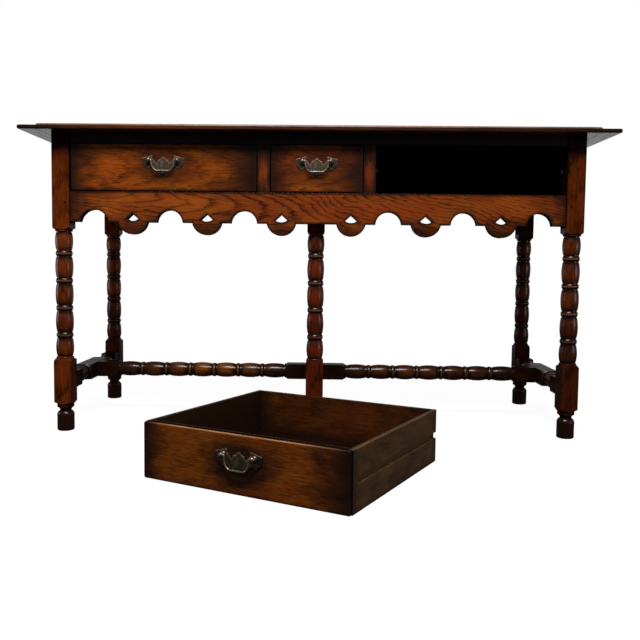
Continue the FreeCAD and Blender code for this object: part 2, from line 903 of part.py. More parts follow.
def make_legs(middle_mortise):
    for end, plane, inward in ENDS:
        for side, sign in SIDES:
            name = f"{end}_{side}_leg"
            stock = turned_leg(name + "_stock", S.leg_square, top_low)
            place(stock, leg_x * sign, plane + S.leg_square / 2 * inward)
            keep(name, cut(name, stock, mortises[name] + peg_holes.get(name, [])))
    stock = turned_leg("middle_leg_stock", S.middle_leg_square, dust_board_low)
    keep("middle_leg", cut("middle_leg", stock, [middle_mortise]))


# Handles, each in its drawer's own frame: X across, Y back from the face, Z up from the lower edge


def wing_outline():
    """Right half of a bat-wing backplate, from the crest down to its foot, about the posts' level."""
    return [
        (0, 8.5),
        (7.5, 2.5),
        (13.5, 0.5, 0.8),
        (17.5, -8, 0.9),
        (28.5, 5),
        (24, 12.5, 1.2),
        (32, 12.2, 1.4),
        (40, 9, 1.2),
        (48, 7.5, 1.2),
        (55, 6, 1.2),
        (50.5, -14, -1.5),
        (42, -22, 1.6),
        (33, -15.5, -2.2),
        (21, -27, 2.2),
        (14.5, -33, -1.2),
        (0, -36.5, 1.2),
    ]


def plate_size(number):
    """A length on the backplate, which grows and shrinks with the spacing of its posts."""
    return S.post_spacing * (number / WING_DRAWN_SPACING)


def plate_outline():
    right = wing_outline()
    whole = list(right)
    for i in range(len(right) - 1, 0, -1):
        rise = right[i][2:]
        x, z = right[i - 1][:2]
        whole.append((-x, z) + rise)
    whole.pop()
    path = []
    for point in whole:
        x = plate_size(point[0]) if point[0] else 0
        rise = tuple(plate_size(number) for number in point[2:])
        path.append((x, S.handle_height + plate_size(point[1])) + rise)
    closing = right[1][2:]
    path[0] = path[0][:2] + tuple(plate_size(number) for number in closing)
    return path


def make_plate(name):
    body = doc.addObject("PartDesign::Body", name + "_sheet")
    outline = new_sketch(body, "XZ_Plane", name + "_outline")
    draw(outline, plate_outline())
    pad(body, outline, S.plate_thickness)
    holes = []
    for side, sign in SIDES:
        start = (S.post_spacing / 2 * sign, -S.plate_thickness, S.handle_height)
        radius = S.post_stem_radius + S.joint_gap
        holes.append(cylinder(f"{name}_{side}_hole", radius, S.plate_thickness, start, "Y"))
    return cut(name, body, holes)


def make_posts(name):
    """Ball-headed posts, each with a neck, a flared foot, and a stem through the drawer front."""
    both = []
    level = S.handle_height
    plate_face = -S.plate_thickness
    stem_end = S.drawer_front_thickness + S.nut_thickness + S.stem_past_nut
    reach = S.post_ball_radius * 2
    for side, sign in SIDES:
        post = f"{name}_{side}"
        x = S.post_spacing / 2 * sign
        centre = (x, -S.pivot_stand_off, level)
        ball = doc.addObject("Part::Sphere", post + "_ball")
        bind(ball, "Radius", S.post_ball_radius)
        place(ball, *centre)
        neck_length = S.pivot_stand_off - S.plate_thickness
        neck = cylinder(post + "_neck", S.post_neck_radius, neck_length, centre, "Y")
        foot = doc.addObject("Part::Cone", post + "_foot")
        turn(foot, *ALONG["Y"])
        bind(foot, "Radius1", S.post_neck_radius)
        bind(foot, "Radius2", S.post_foot_radius)
        bind(foot, "Height", S.post_foot_height)
        place(foot, x, plate_face - S.post_foot_height, level)
        stem_length = stem_end - plate_face
        stem = cylinder(post + "_stem", S.post_stem_radius, stem_length, (x, plate_face, level), "Y")
        eye_start = (x - reach, -S.pivot_stand_off, level)
        eye = cylinder(post + "_eye", S.bail_radius + S.bail_clearance, reach * 2, eye_start, "X")
        both.append(cut(post, fuse(post + "_blank", [ball, neck, foot, stem]), [eye]))
    return group(name, both)


def make_nuts(name):
    both = []
    for side, sign in SIDES:
        nut = doc.addObject("Part::Prism", f"{name}_{side}_blank")
        nut.Polygon = 6
        bind(nut, "Circumradius", S.nut_radius)
        bind(nut, "Height", S.nut_thickness)
        turn(nut, *ALONG["Y"])
        x = S.post_spacing / 2 * sign
        place(nut, x, S.drawer_front_thickness, S.handle_height)
        start = (x, S.drawer_front_thickness, S.handle_height)
        radius = S.post_stem_radius + S.joint_gap / 2
        hole = cylinder(f"{name}_{side}_bore", radius, S.nut_thickness, start, "Y")
        both.append(cut(f"{name}_{side}", nut, [hole]))
    return group(name, both)


def make_bail(name):
    """Bent rod that hangs from the two posts, its ends turned outward into their eyes."""
    body = doc.addObject("PartDesign::Body", name)
    spine = new_sketch(body, "XZ_Plane", name + "_spine")
    post = S.post_spacing / 2
    arm = post - S.post_ball_radius - S.bail_radius - S.bail_side_gap
    end = post + S.post_ball_radius + S.bail_end_proud
    level = S.handle_height
    half = [
        (end, level),
        (arm, level),
        (arm - S.bail_taper, level - S.bail_arm),
        (arm - S.bail_taper - S.bail_bend, level - S.bail_drop + S.bail_rise),
        (S.bail_grip / 2, level - S.bail_drop),
    ]
    path = [(-x, z) for x, z in half] + [(x, z) for x, z in reversed(half)]
    draw(spine, path, closed=False)
    section = new_sketch(body, "YZ_Plane", name + "_section")
    bind(section, "AttachmentOffset.Base.z", -end)
    rod = Part.Circle(Vector(0, float(level), 0), Vector(0, 0, 1), float(S.bail_radius))
    circle = section.addGeometry(rod)
    ties = fixed_point(circle, 3, 0, level)
    ties.append((Sketcher.Constraint("Radius", circle, float(S.bail_radius)), S.bail_radius))
    constrain(section, ties)
    doc.recompute()
    pipe = body.newObject("PartDesign::AdditivePipe", name + "_rod")
    pipe.Profile = section
    pipe.Spine = (spine, [f"Edge{i}" for i in range(1, len(path))])
    pipe.Transition = "Round corner"
    place(body, y=-S.pivot_stand_off)
    return body


# Drawers


def make_drawer_front(name, width):
    body = doc.addObject("PartDesign::Body", name + "_board")
    outline = new_sketch(body, "XZ_Plane", name + "_outline")
    half = width / 2
    draw(outline, [(-half, 0), (half, 0), (half, drawer_height), (-half, drawer_height)])
    board = pad(body, outline, S.drawer_front_thickness, reverse=True)
    limit = float(S.drawer_front_thickness) / 2
    round_edges(body, board, S.drawer_front_round, lambda b: b.YMax < limit)
    waste = []
    thick = S.drawer_front_thickness
    for side, sign in SIDES:
        near = (half - S.drawer_side_thickness) * sign
        rebate_end = (half * sign, thick, drawer_height)
        rebate = box(f"{name}_{side}_rebate", (near, S.drawer_front_lap, 0), rebate_end)
        start = (S.post_spacing / 2 * sign, 0, S.handle_height)
        radius = S.post_stem_radius + S.joint_gap
        waste += [rebate, cylinder(f"{name}_{side}_hole", radius, thick, start, "Y")]
    reach = half - S.drawer_side_thickness
    low, high = bottom_groove()
    groove_y = thick - S.drawer_bottom_housing
    waste.append(box(name + "_groove", (-reach, groove_y, low), (reach, thick, high)))
    return cut(name, body, waste)


def bottom_groove():
    low = S.drawer_bottom_height - S.joint_gap
    high = S.drawer_bottom_height + S.drawer_bottom_thickness + S.joint_gap
    return low, high


def make_drawer_side(name, sign, width):
    outside = width / 2
    inside = outside - S.drawer_side_thickness
    lap = S.drawer_front_lap
    depth = drawer_depth
    board = box(name + "_board", (inside * sign, lap, 0), (outside * sign, depth, drawer_height))
    low = S.groove_middle - S.groove_height / 2
    high = S.groove_middle + S.groove_height / 2
    floor = (outside - S.groove_depth) * sign
    groove_end = (outside * sign, depth, high)
    runner_groove = box(name + "_runner_groove", (floor, S.groove_start, low), groove_end)
    low, high = bottom_groove()
    housing = (inside + S.drawer_bottom_housing) * sign
    bottom = box(name + "_bottom_groove", (inside * sign, lap, low), (housing, depth, high))
    return cut(name, board, [runner_groove, bottom])


def make_drawer(name, width):
    """Every piece of one drawer, in the drawer's own frame."""
    inside = width / 2 - S.drawer_side_thickness
    floor_top = S.drawer_bottom_height + S.drawer_bottom_thickness
    depth = drawer_depth
    back_y = depth - S.drawer_back_thickness
    reach = inside + S.drawer_bottom_housing - S.joint_gap
    bottom_y = S.drawer_front_thickness - S.drawer_bottom_housing + S.joint_gap
    pieces = {"front": make_drawer_front(f"{name}_front", width)}
    for side, sign in SIDES:
        pieces[f"{side}_side"] = make_drawer_side(f"{name}_{side}_side", sign, width)
    pieces["back"] = box(f"{name}_back", (-inside, back_y, floor_top), (inside, depth, drawer_height))
    pieces["bottom"] = box(
        f"{name}_bottom", (-reach, bottom_y, S.drawer_bottom_height), (reach, depth, floor_top)
    )
    pieces["handle_plate"] = make_plate(f"{name}_handle_plate")
    pieces["handle_posts"] = make_posts(f"{name}_handle_posts")
    pieces["handle_nuts"] = make_nuts(f"{name}_handle_nuts")
    pieces["bail"] = make_bail(f"{name}_bail")
    return {f"{name}_{piece}": item for piece, item in pieces.items()}


def make_drawers():
    side_width = inner - muntin_out - S.drawer_side_gap * 2
    middle_width = S.middle_opening - S.drawer_side_gap * 2
    left_x = -(inner + muntin_out) / 2
    floor = Size("0")
    stations = {
        "left_drawer": (side_width, left_x, face, drawer_z, None),
        "middle_drawer": (middle_width, floor, face, drawer_z, None),
        "right_drawer": (side_width, S.loose_x, front - S.loose_forward, floor, S.loose_turn),
    }
    for name, (width, x, y, z, angle) in stations.items():
        for label, item in make_drawer(name, width).items():
            holder = doc.addObject("Part::Compound", label + "_placed")
            holder.Links = [item]
            if angle is not None:
                turn(holder, Vector(0, 0, 1), float(angle))
                bind(holder, "Placement.Rotation.Angle", angle)
            place(holder, x, y, z)
            keep(label, holder)


# Assembly: joints first, so that every mortise is known before the piece it is cut in
above, below = make_muntins()
make_apron(below)
make_top_rail(above)
make_side_rails()
make_back_board()
make_dust_board()
make_bearers_and_guides()
make_runners()
make_glue_blocks()
make_top()
long_pieces, side_mortises = make_long_stretcher()
leg_mortise, block_mortise = make_tie()
keep("long_stretcher", cut("long_stretcher", fuse("long_stretcher_blank", long_pieces), [block_mortise]))
for side, sign in SIDES:
    make_side_stretcher(side, sign, side_mortises[side])
make_legs(leg_mortise)
keep("joint_pegs", group("joint_pegs", pegs))
make_drawers()
doc.recompute()

# Every object has to be sound before anything is written
for item in doc.Objects:
    if {"Invalid", "Error"} & set(item.State):
        raise RuntimeError(f"{item.Name} failed: {item.State}")
for label, item in nodes.items():
    if item.Shape.isNull() or not item.Shape.isValid() or not item.Shape.Solids:
        raise RuntimeError(f"{label} has no sound solid")

os.makedirs("parts", exist_ok=True)
for label, item in nodes.items():
    item.Shape.exportStep(os.path.join("parts", label + ".step"))
print(len(nodes), "sub-parts written")
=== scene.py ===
import json
import math
import random
from typing import NamedTuple

import bmesh
import bpy
from mathutils import Matrix, Vector


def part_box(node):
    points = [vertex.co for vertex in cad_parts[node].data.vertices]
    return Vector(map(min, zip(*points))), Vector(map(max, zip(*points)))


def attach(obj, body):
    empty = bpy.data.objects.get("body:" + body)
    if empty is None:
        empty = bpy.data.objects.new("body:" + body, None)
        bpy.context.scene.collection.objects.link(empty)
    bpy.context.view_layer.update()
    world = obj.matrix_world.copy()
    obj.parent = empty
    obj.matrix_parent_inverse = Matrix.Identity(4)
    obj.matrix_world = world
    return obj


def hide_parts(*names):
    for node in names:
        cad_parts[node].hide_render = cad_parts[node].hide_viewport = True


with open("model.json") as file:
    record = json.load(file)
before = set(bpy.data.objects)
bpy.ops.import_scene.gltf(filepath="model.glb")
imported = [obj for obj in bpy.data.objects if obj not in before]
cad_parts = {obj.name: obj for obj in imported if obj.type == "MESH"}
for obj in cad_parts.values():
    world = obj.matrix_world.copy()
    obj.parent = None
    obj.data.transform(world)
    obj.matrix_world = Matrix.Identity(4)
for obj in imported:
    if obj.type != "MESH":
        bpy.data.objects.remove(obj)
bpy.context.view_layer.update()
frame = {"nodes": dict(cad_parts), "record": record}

# Looks of an old oak dresser base: eased boards, bobbin-turned legs, aged brass handles.
# Lengths are in metres. The front faces -Y, and the loose drawer stands turned on the floor.
record = frame["record"]
nodes = frame["nodes"]
body_of = {name: body for body, names in record["behaviour"]["bodies"].items() for name in names}
slot_of = {name: node.material_slots[0].material.name for name, node in nodes.items()}

BRASS_SLOT = "handle_brass"
LOOSE_TURN = math.radians(-27.76)
UP = Vector((0, 0, 1))


# Node graphs

MIX_FIRST, MIX_SECOND, MIX_RESULT = 6, 7, 2  # colour sockets of a mix node
WHITE = (1, 1, 1, 1)


class Graph:
    """Short ways to add and join the nodes of a material or of the world."""

    def __init__(self, owner, shader):
        owner.use_nodes = True
        self.owner = owner
        self.tree = owner.node_tree
        self.shader = self.tree.nodes[shader]

    def join(self, value, socket):
        """Link a socket, or set a plain value."""
        if isinstance(value, bpy.types.NodeSocket):
            self.tree.links.new(value, socket)
        else:
            socket.default_value = value

    def add(self, kind, *values, **settings):
        """A node with its settings made and its first sockets joined in order."""
        node = self.tree.nodes.new("ShaderNode" + kind)
        for name, setting in settings.items():
            setattr(node, name, setting)
        for value, socket in zip(values, node.inputs):
            self.join(value, socket)
        return node

    def feed(self, node, **sockets):
        """Join a node's sockets by name, with a low line for each space."""
        for name, value in sockets.items():
            self.join(value, node.inputs[name.replace("_", " ")])

    def attribute(self, name):
        return self.add("Attribute", attribute_name=name).outputs["Vector"]

    def math(self, operation, first, second=0.0, clamp=False):
        return self.add("Math", first, second, operation=operation, use_clamp=clamp).outputs[0]

    def vector(self, operation, first, second=(0, 0, 0)):
        node = self.add("VectorMath", first, second, operation=operation)
        return node.outputs["Value" if operation == "LENGTH" else "Vector"]

    def split(self, vector):
        return self.add("SeparateXYZ", vector).outputs

    def combine(self, x, y, z):
        return self.add("CombineXYZ", x, y, z).outputs[0]

    def noise(self, vector, scale, detail=2.0, roughness=0.5):
        """Noise stretched by a scale for each axis, in cycles a metre."""
        node = self.add("TexNoise")
        stretched = self.vector("MULTIPLY", vector, scale)
        self.feed(node, Vector=stretched, Scale=1.0, Detail=detail, Roughness=roughness)
        return node.outputs["Fac"]

    def ease(self, value, low, high, to_low=0.0, to_high=1.0):
        """Smooth step from one value to another, held outside the range."""
        ends = (low, high, to_low, to_high)
        return self.add("MapRange", value, *ends, interpolation_type="SMOOTHSTEP").outputs[0]

    def mix(self, factor, first, second, blend="MIX"):
        node = self.add("Mix", factor, data_type="RGBA", blend_type=blend, clamp_factor=True)
        self.join(first, node.inputs[MIX_FIRST])
        self.join(second, node.inputs[MIX_SECOND])
        return node.outputs[MIX_RESULT]

    def bump(self, height, distance):
        node = self.add("Bump")
        self.feed(node, Strength=1.0, Distance=distance, Height=height)
        self.feed(self.shader, Normal=node.outputs[0])

    def finish(self, **sockets):
        self.feed(self.shader, **sockets)
        return self.owner


def material_graph(name):
    return Graph(bpy.data.materials.new(name), "Principled BSDF")


# Oak


class Finish(NamedTuple):
    """How one kind of wooden piece looks. Pairs of reaches are for its low and its high end."""

    dark: tuple  # colours of the grain
    light: tuple
    figure: float  # strength of the rings
    fleck: float  # strength of the short flecks
    cloud: float = 0.40  # strength of the clouds
    patch: float = 0.4  # how red the redder patches are
    warp: float = 0.018  # how far the rings wander
    slant: float = 0.0  # how far they climb for each metre of the board
    spacing: float = 0.0074  # from ring to ring
    ends: tuple = (0.012, 0.012)  # reach of the burnt shading from both ends of the grain, painted shade as well on stretchers, legs and muntins
    sides: tuple = (0.0, 0.0)  # its reach from both sides of the face
    edges: float = 0.0  # its reach from the arrises of a turning's square blocks
    burnt_and_shade: float = 0.85  # its strength
    gloss: float = 0.25  # roughness
    halo: float = 0.0  # dirt around a handle
    soffit: bool = False  # dark and dull cut edges
    worn: str = None  # how the board lies whose paler arris is worn and painted as a highlight, as in the table of worn and highlighted arrises
    inner: tuple = None  # painted shade: dark colour of the face that looks inward
    bare: tuple = None  # colour of a groove's floor: painted shade in the back board, paler as painted light in drawer sides
    bay: float = None  # how far above its middle a leg's faces into the frame take painted shade


FINISHES = {
    "apron": Finish(
        (0.030, 0.0052, 0.0010), (0.270, 0.060, 0.0046), figure=0.56, fleck=0.26, cloud=0.44, patch=0.8,
        warp=0.045, slant=0.16, spacing=0.0056, ends=(0.150, 0.120), sides=(0.060, 0.0), burnt_and_shade=0.90,
        gloss=0.27, soffit=True,
    ),
    # Its burnt upper end is painted shadow of the top as well as burnt shading.
    "leg": Finish(
        (0.019, 0.0034, 0.0008), (0.160, 0.031, 0.0033), figure=0.34, fleck=0.34, patch=0.2,
        ends=(0.050, 0.090), edges=0.006, burnt_and_shade=0.95, bay=0.16,
    ),
    # Its long dark ends are painted shade as well as burnt shading.
    "stretcher": Finish(
        (0.022, 0.0052, 0.0010), (0.260, 0.075, 0.0065), figure=0.32, fleck=0.30, patch=0.6,
        ends=(0.36, 0.44), edges=0.006, burnt_and_shade=0.97, gloss=0.22,
    ),
    # Near black as painted shade under the top's overhang.
    "rail": Finish(
        (0.0022, 0.0008, 0.0004), (0.010, 0.0030, 0.0010), figure=0.3, fleck=0.3, gloss=0.40,
    ),
    # Its burnt upper end is painted shadow of the top as well as burnt shading.
    "muntin": Finish(
        (0.032, 0.0060, 0.0010), (0.225, 0.043, 0.0036), figure=0.26, fleck=0.26,
        ends=(0.060, 0.080), sides=(0.012, 0.012), burnt_and_shade=0.95,
    ),
    "front": Finish(
        (0.046, 0.0088, 0.0008), (0.288, 0.070, 0.0042), figure=0.30, fleck=0.42, cloud=0.26, patch=0.62,
        ends=(0.100, 0.150), sides=(0.010, 0.0), burnt_and_shade=0.95, gloss=0.24, halo=0.60,
    ),
    "loose_front": Finish(
        (0.054, 0.0116, 0.0010), (0.280, 0.070, 0.0046), figure=0.16, fleck=0.38, cloud=0.24, patch=0.5,
        ends=(0.075, 0.130), sides=(0.010, 0.003), burnt_and_shade=0.95, gloss=0.24, halo=0.90, soffit=True,
        worn="upright",
    ),
    "top": Finish(
        (0.016, 0.0044, 0.0014), (0.085, 0.025, 0.0060), figure=0.45, fleck=0.25,
        ends=(0.20, 0.14), burnt_and_shade=0.90,
    ),
    # Its inner face and groove floors are near black as painted shade inside the empty bay.
    "back": Finish(
        (0.012, 0.0036, 0.0012), (0.075, 0.022, 0.0056), figure=0.35, fleck=0.30, patch=0.3,
        ends=(0.05, 0.05), gloss=0.45, inner=(0.004, 0.0018, 0.0009), bare=(0.004, 0.0018, 0.0009),
    ),
    "cleat": Finish(
        (0.005, 0.0018, 0.0010), (0.034, 0.0105, 0.0034), figure=0.40, fleck=0.25,
        ends=(0.02, 0.02), burnt_and_shade=0.6,
    ),
    "inside": Finish(
        (0.016, 0.0038, 0.0008), (0.090, 0.023, 0.0034), figure=0.20, fleck=0.40, patch=0.3,
        ends=(0.05, 0.10), sides=(0.03, 0.0), gloss=0.34,
    ),
    "bottom": Finish(
        (0.003, 0.0008, 0.0003), (0.012, 0.0028, 0.0008), figure=0.30, fleck=0.40, gloss=0.30,
    ),
    # Near black as painted shade inside the frame and the empty bay.
    "unseen": Finish(
        (0.0020, 0.0009, 0.0004), (0.0090, 0.0038, 0.0015), figure=0.3, fleck=0.3, gloss=0.70,
    ),
    # Inner faces darker as painted shade, groove floors paler as painted light against their shade.
    "side": Finish(
        (0.036, 0.0166, 0.0042), (0.125, 0.059, 0.0155), figure=0.24, fleck=0.40, patch=0.3,
        ends=(0.03, 0.03), sides=(0.02, 0.0), burnt_and_shade=0.60, gloss=0.42, inner=(0.016, 0.0046, 0.0014),
        bare=(0.115, 0.056, 0.0165),
    ),
}
FINISHES["top_front"] = FINISHES["top"]._replace(worn="flat")

# Noise in the wood: cycles a metre along, across and through the grain, then detail and roughness
WARP = ((3.4, 9.0, 9.0), 3.0, 0.55)
RAGGED = ((26.0, 160.0, 160.0), 3.0)
FIBRE = ((9.0, 330.0, 330.0), 4.0, 0.6)
DASHES = ((62.0, 520.0, 520.0), 2.0)
MOTTLE = ((7.0, 24.0, 24.0), 3.0)
PORES = ((70.0, 1500.0, 1500.0), 1.0)
TAWNY = ((7.0, 15.0, 15.0), 3.0)
SMOKE = ((20.0, 30.0, 30.0), 3.0)
NOISE_MIDDLE = 0.5

# Growth rings: lean of their middle line, raggedness in rings, and where the late wood comes and goes
RING_TILT = 0.08
RING_RAGGED = 0.9
LATE_RISE = (0.0, 0.40)
LATE_FALL = (1.0, 0.86)

# Span of the noise over which each mark comes in, and what it does to the tone
DASH_SPAN = (0.34, 0.66)
FIBRE_SPAN = (0.28, 0.72)
FIBRE_TONE = (-0.08, 0.22)
MOTTLE_SPAN = (0.30, 0.70)
CLOUD_TONE = (-0.3, 0.7)
PORE_SPAN = (0.60, 0.72)
PORE_TONE = 0.10
TAWNY_SPAN = (0.40, 0.60)
RED = (0.86, 0.60, 0.70, 1)

# Burnt shading, dirt and painted shade: uneven reach, least cleanness, and their forms as painted shade in
# the bay and as dirt around handles
BURNT_AND_SHADE = (0.0070, 0.0032, 0.0024, 1)
SMOKE_SPAN = (0.25, 0.75)
DRIFT = (0.55, 1.45)
DIRT_AND_SHADE_FULL = 0.9
SIDE_LEAST = 0.10
BLOCK_LEAST = 0.35
BAY_SPAN = (-0.45, -0.30)  # place times facing along X, which is negative on faces into the frame
BAY_FADE = 0.01
HALO_WIDE = 0.074
HALO_TALL = 0.042
HALO_DRIFT = (0.85, 1.15)
HALO_SPAN = (0.70, 1.50)
CUT_SPAN = (0.0008, 0.0022)  # depth behind the face at which a cut edge begins

# Wear and painted highlights: colour and depth of a worn arris by the way the board lies, and the rubbed
# crest of a reel, both paler as painted highlights as well as wear
WORN_AND_GLINT = {
    "flat": ((0.20, 0.108, 0.068, 1), 0.0062),
    "upright": ((0.30, 0.155, 0.065, 1), 0.0028),
}
WORN_GLINT_FRONT = (0.0040, 0.0008)  # distance behind the face with none of the wear and highlight and with all of it
WORN_GLINT_FULL = 0.0006  # distance below the arris with all of it
REEL = (0.26, 0.094, 0.030, 1)
REEL_WORN_AND_GLINT = 0.42

# Surface: strength of reflections, change of roughness with the fibres, and relief
GLEAM = 0.25
BLOCK_GLEAM = 0.06
GLOSS_SPAN = (0.25, 0.75)
GLOSS_CHANGE = (0.06, -0.03)
LATE_RELIEF = 0.30
FIBRE_RELIEF = 0.70
PORE_RELIEF = 0.15
OAK_RELIEF = 0.00008


class Board(NamedTuple):
    """Sockets that tell where a point lies on its board, and how the board is marked there."""

    local: object  # place from the board's middle
    grain: object  # place in the wood that it was cut from
    above: object  # distances from its low end, side and face
    below: object  # distances from its high ones
    dirt_and_shade: object
    rim: object  # crest of a reel with its painted highlight, or inner face of a board with its painted shade
    turned: object  # round part of a turning, or floor of a groove
    smoke: object  # unevenness of the burnt shading
    drift: object  # what that makes of its reach


def read_board(graph):
    """Sockets of what is stored with each point of a wooden piece."""
    local = graph.attribute("local")
    half = graph.attribute("half")
    grain = graph.vector("ADD", local, graph.attribute("shift"))
    above = graph.split(graph.vector("ADD", half, local))
    below = graph.split(graph.vector("SUBTRACT", half, local))
    dirt_and_shade, rim, turned = graph.split(graph.attribute("wear_and_painted_light"))
    smoke = graph.noise(grain, *SMOKE)
    drift = graph.ease(smoke, *SMOKE_SPAN, *DRIFT)
    return Board(local, grain, above, below, dirt_and_shade, rim, turned, smoke, drift)


def late_wood(graph, board, finish):
    """Rise and fall of the tone across each growth ring that the board cuts, from 0 to 1."""
    along, across, deep = graph.split(board.grain)
    warp = graph.math("SUBTRACT", graph.noise(board.grain, *WARP), NOISE_MIDDLE)
    sway = graph.math("MULTIPLY", warp, finish.warp / NOISE_MIDDLE)
    rise = graph.math("MULTIPLY", graph.split(board.local)[0], finish.slant)
    aside = graph.math("ADD", across, graph.math("ADD", sway, rise))
    tilt = graph.math("MULTIPLY", along, RING_TILT)
    pith = graph.combine(0.0, aside, graph.math("ADD", deep, tilt))
    rings = graph.math("DIVIDE", graph.vector("LENGTH", pith), finish.spacing)
    ragged = graph.math("MULTIPLY", graph.noise(board.grain, *RAGGED), RING_RAGGED)
    saw = graph.math("FRACT", graph.math("ADD", rings, ragged))
    return graph.math("MULTIPLY", graph.ease(saw, *LATE_RISE), graph.ease(saw, *LATE_FALL))


def stained(graph, board, finish, late, fibre, pores):
    """Colour of the stained wood from its rings, flecks, fibres, clouds, pores and redder patches."""
    dashes = graph.noise(board.grain, *DASHES)
    mottle = graph.noise(board.grain, *MOTTLE)
    cloudy = (share * finish.cloud for share in CLOUD_TONE)
    tone = graph.math("MULTIPLY", late, finish.figure)
    tone = graph.math("ADD", tone, graph.ease(dashes, *DASH_SPAN, 0.0, finish.fleck))
    tone = graph.math("ADD", tone, graph.ease(fibre, *FIBRE_SPAN, *FIBRE_TONE))
    tone = graph.math("ADD", tone, graph.ease(mottle, *MOTTLE_SPAN, *cloudy))
    tone = graph.math("SUBTRACT", tone, graph.ease(pores, *PORE_SPAN, 0.0, PORE_TONE), clamp=True)
    colour = graph.mix(tone, (*finish.dark, 1), (*finish.light, 1))
    tawny = graph.noise(board.grain, *TAWNY)
    colour = graph.mix(graph.ease(tawny, *TAWNY_SPAN, 0.0, finish.patch), colour, RED, "MULTIPLY")
    # Inner faces in painted shade; groove floors dark as painted shade, and paler as painted light on drawer
    # sides.
    if finish.inner:
        colour = graph.mix(board.rim, colour, (*finish.inner, 1))
        colour = graph.mix(board.turned, colour, (*finish.bare, 1))
    return colour


def faded(graph, board, distance, reach, least=0.0):
    """Cleanness that grows with the distance from an edge, over an uneven reach."""
    return graph.ease(distance, 0.0, graph.math("MULTIPLY", board.drift, reach), least)


def inside_ends(graph, board, finish):
    """Cleanness away from the burnt ends of a board, which are painted shade too on some pieces."""
    ends = zip((board.above[0], board.below[0]), finish.ends)
    return graph.math("MULTIPLY", *(faded(graph, board, distance, reach) for distance, reach in ends))


def open_air(graph, board, finish):
    """0 on the upper faces of a leg that look into the frame, which take painted shade, and 1 elsewhere."""
    surface = graph.add("NewGeometry").outputs
    place, facing = (graph.split(surface[name])[0] for name in ("Position", "Normal"))
    outward = graph.ease(graph.math("MULTIPLY", place, facing), *BAY_SPAN)
    under = graph.ease(graph.split(board.local)[0], finish.bay, finish.bay - BAY_FADE)
    return graph.math("MAXIMUM", outward, under)


def off_handle(graph, board, finish):
    """Cleanness away from the dirty patch around the handle in the middle of a drawer front."""
    x, y, _ = graph.split(board.local)
    ring = graph.combine(graph.math("DIVIDE", x, HALO_WIDE), graph.math("DIVIDE", y, HALO_TALL), 0.0)
    uneven = graph.ease(board.smoke, *SMOKE_SPAN, *HALO_DRIFT)
    away = graph.math("MULTIPLY", graph.vector("LENGTH", ring), uneven)
    return graph.ease(away, *HALO_SPAN, 1.0 - finish.halo, 1.0)


def cleanness_and_light(graph, board, finish):
    """How far the wood is free of burnt shading, dirt and painted shade."""
    shares = [graph.ease(board.dirt_and_shade, 0.0, DIRT_AND_SHADE_FULL, 1.0, 0.0)]
    for distance, reach in zip((board.above[1], board.below[1]), finish.sides):
        if reach:
            shares.append(faded(graph, board, distance, reach, SIDE_LEAST))
    if finish.edges:
        nearest = graph.math("MINIMUM", board.above[1], board.below[1])
        square = faded(graph, board, nearest, finish.edges, BLOCK_LEAST)
        shares.append(graph.math("MAXIMUM", square, board.turned))
    # Painted shade on a leg's faces inside the bay.
    if finish.bay:
        shares.append(open_air(graph, board, finish))
    if finish.halo:
        shares.append(off_handle(graph, board, finish))
    clean_and_lit = inside_ends(graph, board, finish)
    for share in shares:
        clean_and_lit = graph.math("MULTIPLY", clean_and_lit, share)
    return clean_and_lit


def cut_edge(graph, board):
    """1 on the cut edges of a board, and 0 on its two faces."""
    return graph.ease(graph.math("MINIMUM", board.above[2], board.below[2]), *CUT_SPAN)


def worn_arris(graph, board, finish):
    """Uneven wear and painted highlight of a board's upper front arris, which an upright board's burnt ends
    lack.
    """
    flat = finish.worn == "flat"
    to_front, to_top = (board.above[1], board.below[2]) if flat else (board.above[2], board.below[1])
    _, reach = WORN_AND_GLINT[finish.worn]
    from_front = graph.ease(to_front, *WORN_GLINT_FRONT)
    arris = graph.math("MULTIPLY", from_front, graph.ease(to_top, reach, WORN_GLINT_FULL))
    if not flat:
        arris = graph.math("MULTIPLY", arris, inside_ends(graph, board, finish))
    return graph.math("MULTIPLY", arris, board.drift)


def reflections(graph, board, finish):
    """Strength of reflections: less on square blocks, none on cut edges and on faces into the frame."""
    if finish.soffit:
        return graph.ease(cut_edge(graph, board), 0.0, 1.0, GLEAM, 0.0)
    if not finish.edges:
        return GLEAM
    gleam = graph.ease(board.turned, 0.0, 1.0, BLOCK_GLEAM, GLEAM)
    return graph.math("MULTIPLY", gleam, open_air(graph, board, finish)) if finish.bay else gleam


